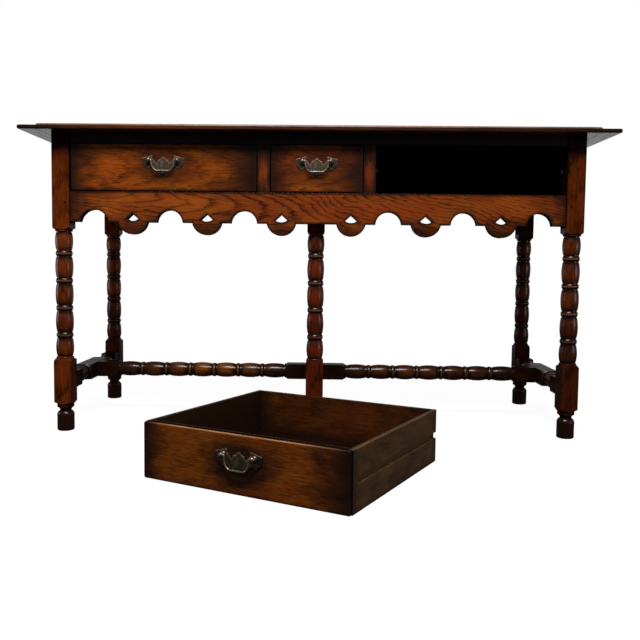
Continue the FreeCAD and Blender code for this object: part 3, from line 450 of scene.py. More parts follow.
def oak(name, finish):
    """Stained oak: growth rings cut by the board, flecks, pores, burnt edges and wear, with painted light
    and shade.
    """
    graph = material_graph(name)
    board = read_board(graph)
    late = late_wood(graph, board, finish)
    fibre = graph.noise(board.grain, *FIBRE)
    pores = graph.noise(board.grain, *PORES)
    colour = stained(graph, board, finish, late, fibre, pores)
    # Burnt shading, dirt and painted shade darken the colour.
    soot_and_shade = graph.math("SUBTRACT", 1.0, cleanness_and_light(graph, board, finish))
    colour = graph.mix(graph.math("MULTIPLY", soot_and_shade, finish.burnt_and_shade), colour, BURNT_AND_SHADE)
    # Painted light and shade: each piece's tint.
    colour = graph.mix(1.0, colour, graph.attribute("light_tint"), "MULTIPLY")
    if not finish.inner:
        # Paler reel crests: wear and a painted highlight.
        colour = graph.mix(graph.math("MULTIPLY", board.rim, REEL_WORN_AND_GLINT), colour, REEL)
    if finish.soffit:
        colour = graph.mix(cut_edge(graph, board), colour, BURNT_AND_SHADE)
    # Paler upper arris: wear and a painted highlight.
    if finish.worn:
        pale, _ = WORN_AND_GLINT[finish.worn]
        colour = graph.mix(worn_arris(graph, board, finish), colour, pale)
    dull = graph.ease(fibre, *GLOSS_SPAN, *(finish.gloss + change for change in GLOSS_CHANGE))
    raised = (graph.math("MULTIPLY", late, LATE_RELIEF), graph.math("MULTIPLY", fibre, FIBRE_RELIEF))
    sunk = graph.ease(pores, *PORE_SPAN, 0.0, PORE_RELIEF)
    graph.bump(graph.math("SUBTRACT", graph.math("ADD", *raised), sunk), OAK_RELIEF)
    gleam = reflections(graph, board, finish)
    return graph.finish(Base_Color=colour, Roughness=dull, Specular_IOR_Level=gleam)


# Brass

# Colours, noise as in the wood, and spans of it or of the wear with what they give
PATINA = (0.044, 0.033, 0.015, 1)
RUBBED_BRASS = (0.32, 0.236, 0.195, 1)
# Painted highlight as well as rubbed metal, where the wear runs highest.
BRIGHT_BRASS = (0.74, 0.53, 0.44, 1)
SPOTS = (0.030, 0.022, 0.014, 1)
GRIME_AND_SHADE = (0.010, 0.007, 0.005, 1)
BRASS_CLOUD = ((120.0, 120.0, 120.0), 4.0, 0.6)
BRASS_SPECK = ((800.0, 800.0, 800.0), 2.0)
CLOUD_WEAR = (0.35, 0.75, -0.18, 0.18)
BRIGHT_SPAN = (0.74, 1.0)
SPOT_SHARE = (0.55, 0.75, 0.0, 0.4)
CLOUD_DULL = (0.3, 0.7, 0.28, 0.38)
PATINA_DULL = (0.2, 0.6, 0.25, 0.0)
SPECK_RELIEF = 0.4
BRASS_RELIEF = 0.00012
BRASS_METALLIC = 0.7


def aged_brass(name):
    """Dark brass: olive patina in the hollows, rubbed bright on what stands proud, with painted highlights
    on edges that look up and dirt with painted shade around the posts, lip and wings.
    """
    graph = material_graph(name)
    place = graph.attribute("local")
    cloud = graph.noise(place, *BRASS_CLOUD)
    speck = graph.noise(place, *BRASS_SPECK)
    rubbed_and_glint, dirt_and_shade, _ = graph.split(graph.attribute("wear_and_painted_light"))
    worn = graph.math("ADD", rubbed_and_glint, graph.ease(cloud, *CLOUD_WEAR), clamp=True)
    colour = graph.mix(worn, PATINA, RUBBED_BRASS)
    # Painted highlight on edges that look up, and on the most rubbed metal.
    colour = graph.mix(graph.ease(worn, *BRIGHT_SPAN), colour, BRIGHT_BRASS)
    colour = graph.mix(graph.ease(speck, *SPOT_SHARE), colour, SPOTS)
    # Dirt and painted shade.
    colour = graph.mix(dirt_and_shade, colour, GRIME_AND_SHADE)
    dull = graph.math("ADD", graph.ease(cloud, *CLOUD_DULL), graph.ease(worn, *PATINA_DULL))
    graph.bump(graph.math("ADD", cloud, graph.math("MULTIPLY", speck, SPECK_RELIEF)), BRASS_RELIEF)
    return graph.finish(Base_Color=colour, Roughness=dull, Metallic=BRASS_METALLIC)


# Places on a piece

# Axes of a board: along the grain, across its face, through it
GRAIN_AXES = {
    "X": ((1, 0, 0), (0, 0, 1), (0, 1, 0)),
    "Y": ((0, 1, 0), (0, 0, 1), (1, 0, 0)),
    "Z": ((0, 0, 1), (1, 0, 0), (0, 1, 0)),
    "flat": ((1, 0, 0), (0, 1, 0), (0, 0, 1)),
    "deep": ((0, 1, 0), (1, 0, 0), (0, 0, 1)),
}


def grain_axes(along, loose=False):
    """Axes of a board, turned with the loose drawer if it belongs to that."""
    axes = [Vector(axis) for axis in GRAIN_AXES[along]]
    if loose:
        turn = Matrix.Rotation(LOOSE_TURN, 3, "Z")
        axes = [turn @ axis for axis in axes]
    return axes


def measured(points, axes):
    """Each point's place along three axes, and the lowest and highest of these."""
    rows = [[point.co.dot(axis) for axis in axes] for point in points]
    columns = list(zip(*rows))
    return rows, [min(column) for column in columns], [max(column) for column in columns]


def by_ending(table, name):
    """The value of the first ending in a table that a name has, if any."""
    return next((value for end, value in table.items() if name.endswith(end)), None)


def share_along(row, half):
    """Share of a board's length that lies before a place on it."""
    return (row[0] / half[0] + 1) / 2


def write_vectors(mesh, name, rows):
    layer = mesh.attributes.new(name, "FLOAT_VECTOR", "POINT")
    layer.data.foreach_set("vector", [number for row in rows for number in row])


# Wear and painted light of the wood: each row holds dirt with painted shade, rubbed rim with a painted
# highlight (or inner face) and roundness (or groove floor)

# Grooves of a turning: depth below its square blocks, tolerance, and points of a full ring
GROOVE_DEPTH = 0.0042
GROOVE_MATCH = 1e-4
MARK_DIGITS = 4
FULL_RING = 40

# Dirt and painted shade in the grooves, on the reels between two close ones, and on the bobbins between two
# far ones
GROOVE_DIRT_AND_SHADE = 0.9
REEL_LONGEST = 0.020
REEL_DIRT_AND_SHADE = 0.90
REEL_CLEANED_AND_LIT = 0.25
REEL_CREST = 6
BOBBIN_END_DIRT_AND_SHADE = 0.60
BOBBIN_CLEANED_AND_LIT = 0.80

# Painted shade on a leg by height: foot, lower block and lowest bobbin; block shade is for the lower and
# upper one
FOOT_HEIGHT = 0.0725
FOOT_SHADE = 0.75
LOW_BLOCK = 0.23
BLOCK_SHADE = {
    "front_right_leg": (0.45, 0.0),
    "rear_left_leg": (0.50, 0.46),
    "rear_right_leg": (0.55, 0.74),
}
UNSHADED_BLOCKS = (0.0, 0.0)
LOW_BOBBIN = 0.302
BOBBIN_SHADE = {"front_left_leg": 0.30}
BOBBIN_SHADE_USUAL = 0.48

# Painted shade on a stretcher: around its middle, on the half at its high end, and at its low end
CENTRE_DARK = (0.06, 0.26)
CENTRE_SHADE = 0.9
HIGH_HALF_SHADE = 0.48
LOW_END_SHADE = 0.75
LOW_END_DARK = 0.26

GROOVE_FLOOR = 0.002
# Darkening on the front edge of the top board
EDGE_DARK = {"top_board_front": 0.74}
EDGE_DEPTH = 0.0004


def groove_marks(rows, half):
    """Places along a turning of its grooves, which are full rings of points at their depth."""
    rings = {}
    for along, across, deep in rows:
        if abs(math.hypot(across, deep) - (half[1] - GROOVE_DEPTH)) < GROOVE_MATCH:
            mark = round(along, MARK_DIGITS)
            rings[mark] = rings.get(mark, 0) + 1
    return sorted(mark for mark, count in rings.items() if count >= FULL_RING)


# Painted shade along a stretcher.
def stretcher_shade(along, half):
    near, far = CENTRE_DARK
    soot_and_shade = CENTRE_SHADE * min(1.0, max(0.0, (far - abs(along)) / (far - near)))
    soot_and_shade = max(soot_and_shade, HIGH_HALF_SHADE if along > 0 else 0.0)
    return max(soot_and_shade, LOW_END_SHADE * (1.0 - (along + half[0]) / LOW_END_DARK))


# Painted shade on a leg by height.
def leg_shade(height, name):
    if height < LOW_BLOCK:
        return BLOCK_SHADE.get(name, UNSHADED_BLOCKS)[0]
    return BOBBIN_SHADE.get(name, BOBBIN_SHADE_USUAL) if height < LOW_BOBBIN else 0.0


def wear_and_shade_between(start, end, along, soot_and_shade):
    """Dirt and painted shade at a place between two grooves of a turning, and a reel's painted highlight."""
    length = end - start
    share = (along - start) / length
    hump = math.sin(math.pi * share)
    if length < GROOVE_DEPTH:
        return (GROOVE_DIRT_AND_SHADE, 0.0, 1.0)
    if length < REEL_LONGEST:
        crest = max(0.0, hump * REEL_CREST - (REEL_CREST - 1))
        return (max(soot_and_shade, REEL_DIRT_AND_SHADE - REEL_CLEANED_AND_LIT * hump), crest * (1.0 - soot_and_shade), 1.0)
    return (max(soot_and_shade, BOBBIN_END_DIRT_AND_SHADE * (1.0 - hump ** BOBBIN_CLEANED_AND_LIT)), 0.0, 1.0)


def turned_wear_and_shade(rows, half, kind, name):
    """Dirt and painted shade along a turning, with highlights painted on reel crests, found from the grooves
    beside its reels.
    """
    marks = groove_marks(rows, half)
    spans = list(zip(marks, marks[1:]))
    upper_shade = BLOCK_SHADE.get(name, UNSHADED_BLOCKS)[1]
    wear_and_painted_light = []
    for along, _, _ in rows:
        height = along + half[0]
        soot_and_shade = leg_shade(height, name) if kind == "leg" else stretcher_shade(along, half)
        span = next(((start, end) for start, end in spans if start <= along <= end), None)
        if kind == "leg" and height < FOOT_HEIGHT:
            wear_and_painted_light.append((FOOT_SHADE, 0.0, 1.0))
        elif span:
            wear_and_painted_light.append(wear_and_shade_between(*span, along, soot_and_shade))
        else:
            wear_and_painted_light.append((max(soot_and_shade, upper_shade if along > 0 else 0.0), 0.0, 0.0))
    return wear_and_painted_light


def side_shading(row, half, inward):
    """Marks the inner face of a board and the floor of a groove in it, which take painted shade and, on
    drawer sides, a paler floor as painted light.
    """
    if not inward:
        return (0.0, 0.0, 0.0)
    outward = -inward * row[2]
    inner_face = outward < GROOVE_FLOOR - half[2]
    in_groove = not inner_face and outward < half[2] - GROOVE_FLOOR
    return (0.0, float(inner_face), float(in_groove))


def edge_darkening(row, half, soot_and_shade):
    """Darker front edge of a flat board, more so to the right."""
    return (soot_and_shade * share_along(row, half) if row[1] < EDGE_DEPTH - half[1] else 0.0, 0.0, 0.0)


def wood_wear_and_shade(mesh, rows, half, name, turning, inward):
    if turning:
        return turned_wear_and_shade(rows, half, turning, name)
    if "edge" in mesh.attributes:
        return [(item.value, 0.0, 0.0) for item in mesh.attributes["edge"].data]
    if name in EDGE_DARK:
        return [edge_darkening(row, half, EDGE_DARK[name]) for row in rows]
    return [side_shading(row, half, inward) for row in rows]


# Grain of each piece

# Painted light and shade: tints at the two ends of a piece's grain, brightening or darkening each piece as
# light falls on it
PLAIN = ((1.0, 1.0, 1.0), (1.0, 1.0, 1.0))
LIGHT_TINTS = {
    "apron": ((0.93, 0.91, 1.00), (0.72, 0.67, 0.63)),
    "front_left_leg": ((1.06, 1.0, 1.1), (0.80, 0.74, 0.86)),
    "front_right_leg": ((0.74, 0.70, 0.86), (0.58, 0.53, 0.62)),
    "rear_left_leg": ((2.7, 2.6, 2.9), (2.3, 2.2, 2.5)),
    "middle_leg": ((1.20, 0.78, 0.95), (0.64, 0.56, 0.60)),
    "long_stretcher": ((0.93, 0.88, 0.88), (0.62, 0.58, 0.58)),
    "left_side_stretcher": ((0.70, 0.56, 0.60), (0.70, 0.56, 0.60)),
    "right_side_stretcher": ((1.1, 0.85, 0.90), (1.1, 0.85, 0.90)),
    "left_drawer_front": ((1.05, 1.05, 0.95), (0.77, 0.69, 0.58)),
    "middle_tie": ((0.30, 0.30, 0.40), (0.30, 0.30, 0.40)),
    "right_muntin": ((0.78, 0.70, 0.72), (0.78, 0.70, 0.72)),
    "middle_drawer_front": ((1.08, 0.94, 0.80), (1.08, 0.94, 0.80)),
}

# How far the wood of a piece is shifted along, across and through the grain
SHIFT_SPANS = ((0, 3), (-0.03, 0.03), (0.05, 0.09))


def lay_grain(mesh, axes, name, turning, inward):
    """Store each point's place on its board, the board's half size, a shift of the grain, a tint of painted
    light and shade, and wear with painted light and shade.
    """
    rows, low, high = measured(mesh.vertices, axes)
    middle = [(a + b) / 2 for a, b in zip(low, high)]
    half = [(b - a) / 2 for a, b in zip(low, high)]
    rows = [[a - b for a, b in zip(row, middle)] for row in rows]
    draw = random.Random(name)
    shift = [draw.uniform(*span) for span in SHIFT_SPANS]
    first, last = LIGHT_TINTS.get(name, PLAIN)
    shares = [share_along(row, half) for row in rows]
    light_tints = [[a + (b - a) * share for a, b in zip(first, last)] for share in shares]
    wear_and_painted_light = wood_wear_and_shade(mesh, rows, half, name, turning, inward)
    write_vectors(mesh, "local", rows)
    write_vectors(mesh, "half", [half] * len(rows))
    write_vectors(mesh, "shift", [shift] * len(rows))
    write_vectors(mesh, "light_tint", light_tints)
    write_vectors(mesh, "wear_and_painted_light", wear_and_painted_light)


# Shapes of boards

# Limits: points that are one, sharp edges, faces that make one flat face, and faces that look one way
WELD = 1e-5
SHARP = math.radians(35)
FLAT = math.radians(0.5)
FACING = 0.999

# Rounded edges of all boards, and the dirty rim of the apron
ROUND_STEPS = 2
ROUND_PROFILE = 0.5
EASE = 0.0009
RIM_WIDE = 0.0070

# Rounded corners of fronts, with the rounding of a drawer front's face and its lap over the sides
CORNER_ROUND = 0.0055
CORNER_STEPS = 5
FRONT_ROUND = 0.003
FRONT_LAP = 0.0081


def welded(node):
    """A node's mesh with its triangles joined into flat faces."""
    shape = bmesh.new()
    shape.from_mesh(node.data)
    bmesh.ops.remove_doubles(shape, verts=shape.verts, dist=WELD)
    bmesh.ops.dissolve_limit(shape, angle_limit=FLAT, verts=shape.verts, edges=shape.edges)
    return shape


def round_edges(shape, width):
    """Round off the sharp edges, and return the faces that this makes."""
    joined = [edge for edge in shape.edges if len(edge.link_faces) == 2]
    sharp = [edge for edge in joined if edge.calc_face_angle() > SHARP]
    made = bmesh.ops.bevel(
        shape, geom=sharp, offset=width, segments=ROUND_STEPS, profile=ROUND_PROFILE, affect="EDGES",
        clamp_overlap=True,
    )
    return set(made["faces"])


def round_corners(shape, axes):
    """Round the four corners of a board's face, near its low side through the board."""
    _, low, high = measured(shape.verts, axes)
    for axis, start, end in zip(axes[:2], low, high):
        for step in range(1, CORNER_STEPS + 1):
            inset = CORNER_ROUND * step / CORNER_STEPS
            for place in (start + inset, end - inset):
                parts = shape.verts[:] + shape.edges[:] + shape.faces[:]
                bmesh.ops.bisect_plane(shape, geom=parts, plane_co=axis * place, plane_no=axis)
    for vertex in shape.verts:
        row = [vertex.co.dot(axis) for axis in axes]
        depth = row[2] - low[2]
        if depth > FRONT_LAP:
            continue
        ahead = max(0.0, FRONT_ROUND - depth)
        inset = FRONT_ROUND - math.sqrt(FRONT_ROUND ** 2 - ahead ** 2)
        into = []
        for i in (0, 1):
            to_low, to_high = row[i] - low[i], high[i] - row[i]
            into.append((CORNER_ROUND - min(to_low, to_high), -1 if to_low < to_high else 1))
        (a, side_a), (b, side_b) = into
        reach = math.hypot(a, b)
        if a > 0 and b > 0 and reach > CORNER_ROUND - inset:
            pull = (CORNER_ROUND - inset) / reach - 1.0
            vertex.co += axes[0] * (a * pull * side_a) + axes[1] * (b * pull * side_b)


def mark_rim(shape, through, rounding):
    """Mark the outline of the flat faces for dirt, with a strip inside it over which the dirt fades."""
    edge = shape.verts.layers.float.new("edge")
    faces = [face for face in shape.faces if abs(face.normal.dot(through)) > FACING and face not in rounding]
    faces = [face for face in faces if face.calc_area() > RIM_WIDE * RIM_WIDE]
    for vertex in {vertex for face in faces for vertex in face.verts}:
        vertex[edge] = 1.0
    bmesh.ops.inset_region(shape, faces=faces, thickness=RIM_WIDE, use_even_offset=True)
    for vertex in {vertex for face in faces for vertex in face.verts}:
        vertex[edge] = 0.0


def to_mesh(shape, rounding, name):
    """Mesh with smooth rounded edges between flat faces."""
    rounding = {face for face in rounding if face.is_valid}
    normals = []
    for vertex in shape.verts:
        faces = [face for face in vertex.link_faces if face not in rounding] or vertex.link_faces
        total = sum((face.normal * face.calc_area() for face in faces), Vector())
        normals.append(total.normalized())
    for face in shape.faces:
        face.smooth = True
    mesh = bpy.data.meshes.new(name)
    shape.to_mesh(mesh)
    shape.free()
    mesh.normals_split_custom_set_from_vertices(normals)
    return mesh


def eased_mesh(node, axes, style):
    """Copy of a flat-faced node's mesh with its sharp edges rounded off."""
    shape = welded(node)
    rounding = round_edges(shape, EASE)
    if style.endswith("front"):
        round_corners(shape, axes)
    if style == "apron":
        mark_rim(shape, axes[2], rounding)
    return to_mesh(shape, rounding, node.name + "_eased")


# Shapes of handles

# Backplate: eased edge, grid of its relief, width of its rim and of the slope inside it, sunk field
PLATE_EASE = 0.0005
PLATE_GRID = 0.0016
PLATE_RIM = (0.0011, 0.0026)
PLATE_SUNK = 0.0006

# How far metal is rubbed: field and rim of a plate, more where its edge looks up as a painted highlight, and
# rods
RUBBED_FIELD = 0.06
RUBBED_RIM = 0.2
UPWARD_GLINT = 0.80
RUBBED_ROD = 0.62

# Dirt and painted shade on a plate: below and around its posts, painted shadow on its lower lip under the
# bail, and painted shade inside its wings
POST_DROP = 0.004
POST_REACH = 0.012
POST_DIRT_AND_SHADE = 0.8
LIP_DROP = 0.0255
LIP_SHADE = 0.55
WING_RIM = 0.35
WING_SHADE = 0.42
DIRT_AND_SHADE_STRENGTH = 1.6

# Rod of a bail, with its bends as places sideways from the middle and down from the posts
BAIL_RADIUS = 0.0022
BAIL_ARM = 0.0291
BAIL_ELBOW = 0.0019
BAIL_BENDS = (
    (0.0289, 0.007), (0.0278, 0.014), (0.0243, 0.0215), (0.0195, 0.0263), (0.0150, 0.0279), (0.0100, 0.0280),
)
BAIL_SIDES = 14
BAIL_STEPS = 7
ELBOW_STEPS = 4


def to_segment(spot, start, end):
    """Distance from a point to a straight edge."""
    along = end - start
    share = (spot - start).dot(along) / along.length_squared if along.length_squared else 0.0
    return (spot - start - along * min(1.0, max(0.0, share))).length


def outline_edges(faces):
    """Ends of each edge around a set of faces, and how far it looks up."""
    rim = []
    for face in faces:
        for edge in face.edges:
            if not faces.issuperset(edge.link_faces):
                start, end = (vertex.co.copy() for vertex in edge.verts)
                along = (end - start).normalized()
                out = (start + end) / 2 - face.calc_center_median()
                rim.append((start, end, (out - along * out.dot(along)).normalized().z))
    return rim


def cut_grid(shape, faces, axes):
    """Cut faces by evenly spaced planes along two axes, so that they can take relief."""
    parts = list(faces) + list({item for face in faces for item in (*face.edges, *face.verts)})
    for axis in axes:
        places = [vertex.co.dot(axis) for face in faces for vertex in face.verts]
        low, high = min(places), max(places)
        for step in range(1, int((high - low) / PLATE_GRID) + 1):
            spot = axis * (low + step * PLATE_GRID)
            parts = bmesh.ops.bisect_plane(shape, geom=parts, plane_co=spot, plane_no=axis)["geom"]
        faces = [face for face in parts if isinstance(face, bmesh.types.BMFace)]


def plate_mesh(node, wide, front):
    """Backplate with a raised rim around a sunk field."""
    shape = welded(node)
    rounding = round_edges(shape, PLATE_EASE)

    def field():
        return [face for face in shape.faces if face.normal.dot(front) > FACING and face not in rounding]

    bmesh.ops.triangulate(shape, faces=field())
    faces = set(field())
    rim = outline_edges(faces)
    cut_grid(shape, faces, (wide, UP))
    rubbed_and_glint = shape.verts.layers.float.new("rubbed_and_glint")
    for vertex in shape.verts:
        vertex[rubbed_and_glint] = RUBBED_FIELD
    flat, sloped = PLATE_RIM
    for vertex in {vertex for face in field() for vertex in face.verts}:
        away, lift = min((to_segment(vertex.co, start, end), lift) for start, end, lift in rim)
        share = min(1.0, max(0.0, (away - flat) / (sloped - flat)))
        vertex.co -= front * (PLATE_SUNK * share)
        # Rubbed rim, with a painted highlight where its edge looks up.
        vertex[rubbed_and_glint] = RUBBED_FIELD + (UPWARD_GLINT * max(0.0, lift) + RUBBED_RIM) * (1.0 - share)
    return to_mesh(shape, rounding, node.name + "_relief")


def plate_wear_and_shade(mesh, centre, wide, reach):
    """Rubbed metal with painted highlights, and dirt with painted shade, at each point of a backplate."""
    wear_and_painted_light = []
    for vertex, item in zip(mesh.vertices, mesh.attributes["rubbed_and_glint"].data):
        away = vertex.co - centre
        spot = Vector((abs(away.dot(wide)) - reach, away.z + POST_DROP))
        dirt_and_shade = POST_DIRT_AND_SHADE * max(0.0, 1.0 - spot.length / POST_REACH)
        if away.z < -LIP_DROP:
            dirt_and_shade = LIP_SHADE
        if spot.x > 0 and item.value < WING_RIM:
            dirt_and_shade = max(dirt_and_shade, WING_SHADE)
        wear_and_painted_light.append((item.value, min(1.0, dirt_and_shade * DIRT_AND_SHADE_STRENGTH), 0.0))
    return wear_and_painted_light


def smooth_path(points):
    """Smooth curve through points, with its ends held."""
    held = [points[0] * 2 - points[1], *points, points[-1] * 2 - points[-2]]
    path = []
    for a, b, c, d in zip(held, held[1:], held[2:], held[3:]):
        for step in range(BAIL_STEPS):
            t = step / BAIL_STEPS
            bend = (a * 2 - b * 5 + c * 4 - d) * t ** 2 + (b * 3 - a - c * 3 + d) * t ** 3
            path.append((b * 2 + (c - a) * t + bend) / 2)
    return path + [points[-1]]


def bail_path(end):
    """Half of the rod's middle line, from its outer end to the grip, as sideways and downward places."""
    path = [Vector((end, 0)), Vector((BAIL_ARM + BAIL_ELBOW, 0))]
    for step in range(1, ELBOW_STEPS + 1):
        turn = math.pi / 2 * step / ELBOW_STEPS
        sideways = BAIL_ARM + BAIL_ELBOW * (1 - math.sin(turn))
        path.append(Vector((sideways, -BAIL_ELBOW * (1 - math.cos(turn)))))
    bends = [path.pop()] + [Vector((sideways, -drop)) for sideways, drop in BAIL_BENDS]
    return path + smooth_path(bends)


def rod_faces(rings):
    """Faces of a round rod over its rings of points, closed at both ends."""
    faces = []
    for ring in range(rings - 1):
        for side in range(BAIL_SIDES):
            a, b = ring * BAIL_SIDES + side, ring * BAIL_SIDES + (side + 1) % BAIL_SIDES
            faces.append((a, b, b + BAIL_SIDES, a + BAIL_SIDES))
    last = (rings - 1) * BAIL_SIDES
    faces.append(tuple(range(BAIL_SIDES - 1, -1, -1)))
    faces.append(tuple(range(last, last + BAIL_SIDES)))
    return faces


def bail_mesh(node, wide, front):
    """Rod of the same reach as the node's, bent in smooth curves."""
    _, low, high = measured(node.data.vertices, (wide, front, UP))
    middle = [(a + b) / 2 for a, b in zip(low, high)]
    origin = wide * middle[0] + front * middle[1] + UP * (high[2] - BAIL_RADIUS)
    half = bail_path((high[0] - low[0]) / 2)
    path = half + [Vector((-spot.x, spot.y)) for spot in reversed(half)]
    points = []
    for index, spot in enumerate(path):
        ahead = path[min(index + 1, len(path) - 1)] - path[max(index - 1, 0)]
        aside = Vector((-ahead.y, ahead.x)).normalized()
        for side in range(BAIL_SIDES):
            angle = math.tau * side / BAIL_SIDES
            flat = spot + aside * (BAIL_RADIUS * math.cos(angle))
            points.append(origin + wide * flat.x + UP * flat.y + front * (BAIL_RADIUS * math.sin(angle)))
    mesh = bpy.data.meshes.new(node.name + "_rod")
    mesh.from_pydata(points, [], rod_faces(len(path)))
    for face in mesh.polygons:
        face.use_smooth = len(face.vertices) == 4
    return mesh


# Pieces

# Finish and grain of a wooden piece, by the first row whose start and end its name has
WOOD_STYLES = (
    ("", "_leg", "leg", "Z"),
    ("joint_pegs", "", "leg", "Z"),
    ("top_board_front", "", "top_front", "flat"),
    ("top_board", "", "top", "flat"),
    ("end_cleats", "", "cleat", "deep"),
    ("", "side_stretcher", "stretcher", "Y"),
    ("middle_tie", "", "stretcher", "Y"),
    ("long_stretcher", "", "stretcher", "X"),
    ("", "muntin", "muntin", "Z"),
    ("top_rail", "", "rail", "X"),
    ("right_drawer_front", "", "loose_front", "X"),
    ("", "_drawer_front", "front", "X"),
    ("", "_drawer_left_side", "side", "Y"),
    ("", "_drawer_right_side", "side", "Y"),
    ("", "_drawer_back", "inside", "X"),
    ("", "_drawer_bottom", "bottom", "flat"),
    ("dust_board", "", "unseen", "flat"),
    ("top_glue_blocks", "", "unseen", "flat"),
    ("back_board", "", "back", "X"),
    ("", "runner", "unseen", "Y"),
    ("", "bearer", "unseen", "Y"),
    ("", "guide", "unseen", "Y"),
    ("", "side_rail", "apron", "Y"),
    ("", "", "apron", "X"),
)
TURNINGS = {"_leg": "leg", "_stretcher": "stretcher"}

# Which way along its third axis a board's inner face looks
INWARD = {"_drawer_left_side": 1, "_drawer_right_side": -1, "back_board": -1}


def wood_style(name):
    for start, end, style, along in WOOD_STYLES:
        if name.startswith(start) and name.endswith(end):
            return style, along


def add_piece(name, mesh, node_name, material):
    """Show a mesh in place of a node, on the node's own body."""
    mesh.materials.clear()
    mesh.materials.append(material)
    piece = bpy.data.objects.new(name, mesh)
    bpy.context.scene.collection.objects.link(piece)
    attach(piece, body_of[node_name])
    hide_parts(node_name)


def make_wood():
    oaks = {key: oak(f"oak_{key}", finish) for key, finish in FINISHES.items()}
    for name, node in nodes.items():
        if slot_of[name] == BRASS_SLOT:
            continue
        style, along = wood_style(name)
        axes = grain_axes(along, name.startswith("right_drawer"))
        turning = by_ending(TURNINGS, name)
        as_it_is = turning or name == "joint_pegs"
        mesh = node.data.copy() if as_it_is else eased_mesh(node, axes, style)
        lay_grain(mesh, axes, name, turning, by_ending(INWARD, name))
        add_piece(name + "_wood", mesh, name, oaks[style])


def make_handles():
    brass = aged_brass("handle_brass_aged")
    for name, node in nodes.items():
        if slot_of[name] != BRASS_SLOT:
            continue
        drawer = name.split("_drawer_")[0]
        wide, _, front = grain_axes("X", drawer == "right")
        posts = [vertex.co for vertex in nodes[f"{drawer}_drawer_handle_posts"].data.vertices]
        left, right = (pick(posts, key=lambda spot: spot.dot(wide)) for pick in (min, max))
        centre = (left + right) / 2
        if name.endswith("plate"):
            mesh = plate_mesh(node, wide, -front)
            wear_and_painted_light = plate_wear_and_shade(mesh, centre, wide, (right - left).length / 2)
        else:
            mesh = bail_mesh(node, wide, front) if name.endswith("bail") else node.data.copy()
            wear_and_painted_light = [(RUBBED_ROD, 0.0, 0.0)] * len(mesh.vertices)
        write_vectors(mesh, "local", [vertex.co - centre for vertex in mesh.vertices])
        write_vectors(mesh, "wear_and_painted_light", wear_and_painted_light)
        add_piece(name + "_metal", mesh, name, brass)


make_wood()
make_handles()


# Stage: camera, floor, lamps and surroundings

# Camera: picture, focal length and view's axis in pixels, turns in radians, sensor in millimetres
FRONT_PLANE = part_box("front_left_leg")[0].y
PICTURE = 640
FOCAL_PIXELS = 762.78
PRINCIPAL = (306.4, 311.5)
CAMERA_SPOT = Vector((0.02242, FRONT_PLANE - 1.98373, 0.46445))
YAW, PITCH, ROLL = -0.022579, 0.069005, 0.011082
SENSOR = 36.0

# Each lamp's name, place, aim, size, power and share in reflections
LAMPS = (
    ("key", (-0.1, -1.5, 2.48), (0, -0.05, 0.45), (1.4, 0.6), 98, 1.0),
    ("fill", (2.8, -1.3, 0.5), (0.2, -0.3, 0.2), (1.0, 0.6), 9, 0.0),
    ("side", (-2.0, 0.0, 0.45), (-0.68, 0.40, 0.38), (0.5, 0.5), 3, 0.0),
    ("above", (0, 0.8, 2.6), (0, 0.3, 0.6), (2.4, 1.0), 20, 1.0),
)

# In reflections the studio is white on the far floor, paler low behind the object, and dim elsewhere
ROOM_DIM = 0.04
SWEEP_WHITE = 1.0
SWEEP_SPAN = (2.0, 4.5)
HORIZON_PALE = 0.30
HORIZON_AHEAD = (0.0, 0.5)
HORIZON_HEIGHT = (0.22, 0.12)
AMBIENT = 0.09

# Floor: its size and place, its paleness near the object and far off, and how it takes shadows
FLOOR_SIZE = 24.0
FLOOR_DROP = 0.0004
FLOOR_NEAR = 0.95
FLOOR_SPAN = (0.9, 2.4)
FLOOR_SPECK = ((3.0, 3.0, 3.0), 3.0)
FLOOR_SPECK_SPAN = (0.3, 0.7)
FLOOR_ALBEDO = 0.08
FLOOR_UNEVEN = 0.02
FLOOR_MIRRORED = 0.1
FLOOR_ROUGH = 0.9


def make_camera():
    ahead = Vector((math.sin(YAW) * math.cos(PITCH), math.cos(YAW) * math.cos(PITCH), -math.sin(PITCH)))
    level = Vector((math.cos(YAW), -math.sin(YAW), 0))
    upright = level.cross(ahead)
    right = level * math.cos(ROLL) + upright * math.sin(ROLL)
    up = upright * math.cos(ROLL) - level * math.sin(ROLL)
    data = bpy.data.cameras.new("camera")
    data.sensor_fit = "HORIZONTAL"
    data.sensor_width = SENSOR
    data.lens = FOCAL_PIXELS * SENSOR / PICTURE
    data.shift_x = 0.5 - PRINCIPAL[0] / PICTURE
    data.shift_y = PRINCIPAL[1] / PICTURE - 0.5
    camera = bpy.data.objects.new("camera", data)
    bpy.context.scene.collection.objects.link(camera)
    turn = Matrix((right, up, -ahead)).transposed()
    camera.matrix_world = Matrix.Translation(CAMERA_SPOT) @ turn.to_4x4()
    bpy.context.scene.camera = camera


def add_lamp(name, spot, aim, size, power, gleam):
    data = bpy.data.lights.new(name, "AREA")
    data.shape = "RECTANGLE"
    data.size, data.size_y = size
    data.energy = power
    data.specular_factor = gleam
    lamp = bpy.data.objects.new(name, data)
    bpy.context.scene.collection.objects.link(lamp)
    lamp.location = spot
    lamp.rotation_euler = (Vector(aim) - Vector(spot)).to_track_quat("-Z", "Y").to_euler()


def seen_by(graph, mirror, direct, ambient):
    """One strength for reflections, one for the camera and one for all other light."""
    path = graph.add("LightPath").outputs
    mirrored = graph.math("MAXIMUM", path["Is Glossy Ray"], path["Is Transmission Ray"])
    reflected = graph.math("MULTIPLY", mirrored, mirror)
    straight = graph.math("MULTIPLY", path["Is Camera Ray"], direct)
    seen = graph.math("MAXIMUM", reflected, straight)
    return graph.math("MAXIMUM", seen, ambient)


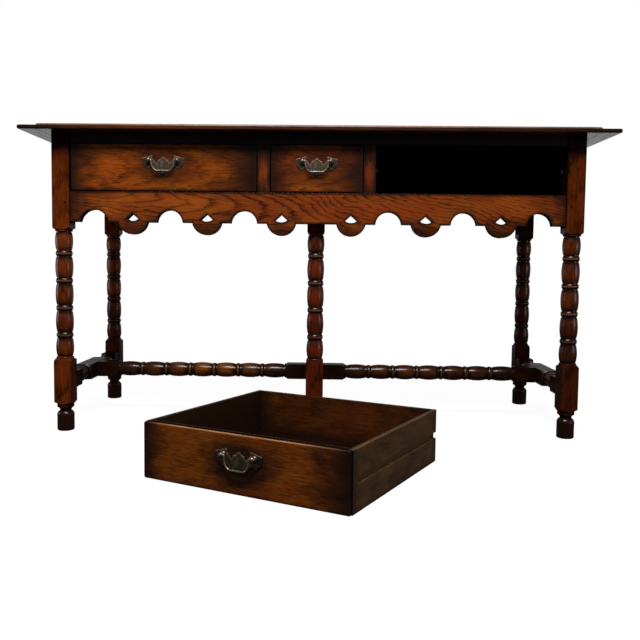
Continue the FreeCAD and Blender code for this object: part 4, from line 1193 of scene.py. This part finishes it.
def pale_floor():
    """Material that reads as white, takes a faint shadow and is dim in reflections near the object."""
    graph = material_graph("pale_floor")
    place = graph.add("NewGeometry").outputs["Position"]
    speck = graph.noise(place, *FLOOR_SPECK)
    shade = graph.ease(speck, *FLOOR_SPECK_SPAN, FLOOR_ALBEDO, FLOOR_ALBEDO + FLOOR_UNEVEN)
    glossy = graph.add("LightPath").outputs["Is Glossy Ray"]
    shade = graph.math("MULTIPLY", shade, graph.ease(glossy, 0.0, 1.0, 1.0, FLOOR_MIRRORED))
    mirror = graph.ease(graph.split(place)[1], *SWEEP_SPAN, ROOM_DIM, SWEEP_WHITE)
    direct = graph.ease(graph.vector("LENGTH", place), *FLOOR_SPAN, FLOOR_NEAR, 1.0)
    glow = seen_by(graph, mirror, direct, 0.0)
    graph.finish(Base_Color=graph.combine(shade, shade, shade), Roughness=FLOOR_ROUGH)
    return graph.finish(Specular_IOR_Level=0.0, Emission_Color=WHITE, Emission_Strength=glow)


def make_floor():
    mesh = bpy.data.meshes.new("floor")
    reach = FLOOR_SIZE / 2
    corners = [(-reach, -reach), (reach, -reach), (reach, reach), (-reach, reach)]
    mesh.from_pydata([(x, y, -FLOOR_DROP) for x, y in corners], [], [(0, 1, 2, 3)])
    mesh.materials.append(pale_floor())
    floor = bpy.data.objects.new("floor", mesh)
    bpy.context.scene.collection.objects.link(floor)


def make_world():
    """Surroundings that read as white, light the object a little, and are dim in reflections."""
    world = bpy.data.worlds.new("studio")
    bpy.context.scene.world = world
    graph = Graph(world, "Background")
    _, ahead, height = graph.split(graph.add("TexCoord").outputs["Generated"])
    band = graph.math("MULTIPLY", graph.ease(ahead, *HORIZON_AHEAD), graph.ease(height, *HORIZON_HEIGHT))
    mirror = graph.ease(band, 0.0, 1.0, ROOM_DIM, HORIZON_PALE)
    graph.finish(Color=WHITE, Strength=seen_by(graph, mirror, 1.0, AMBIENT))


make_camera()
make_floor()
make_world()
for lamp_row in LAMPS:
    add_lamp(*lamp_row)
bpy.context.scene.view_settings.view_transform = "Standard"
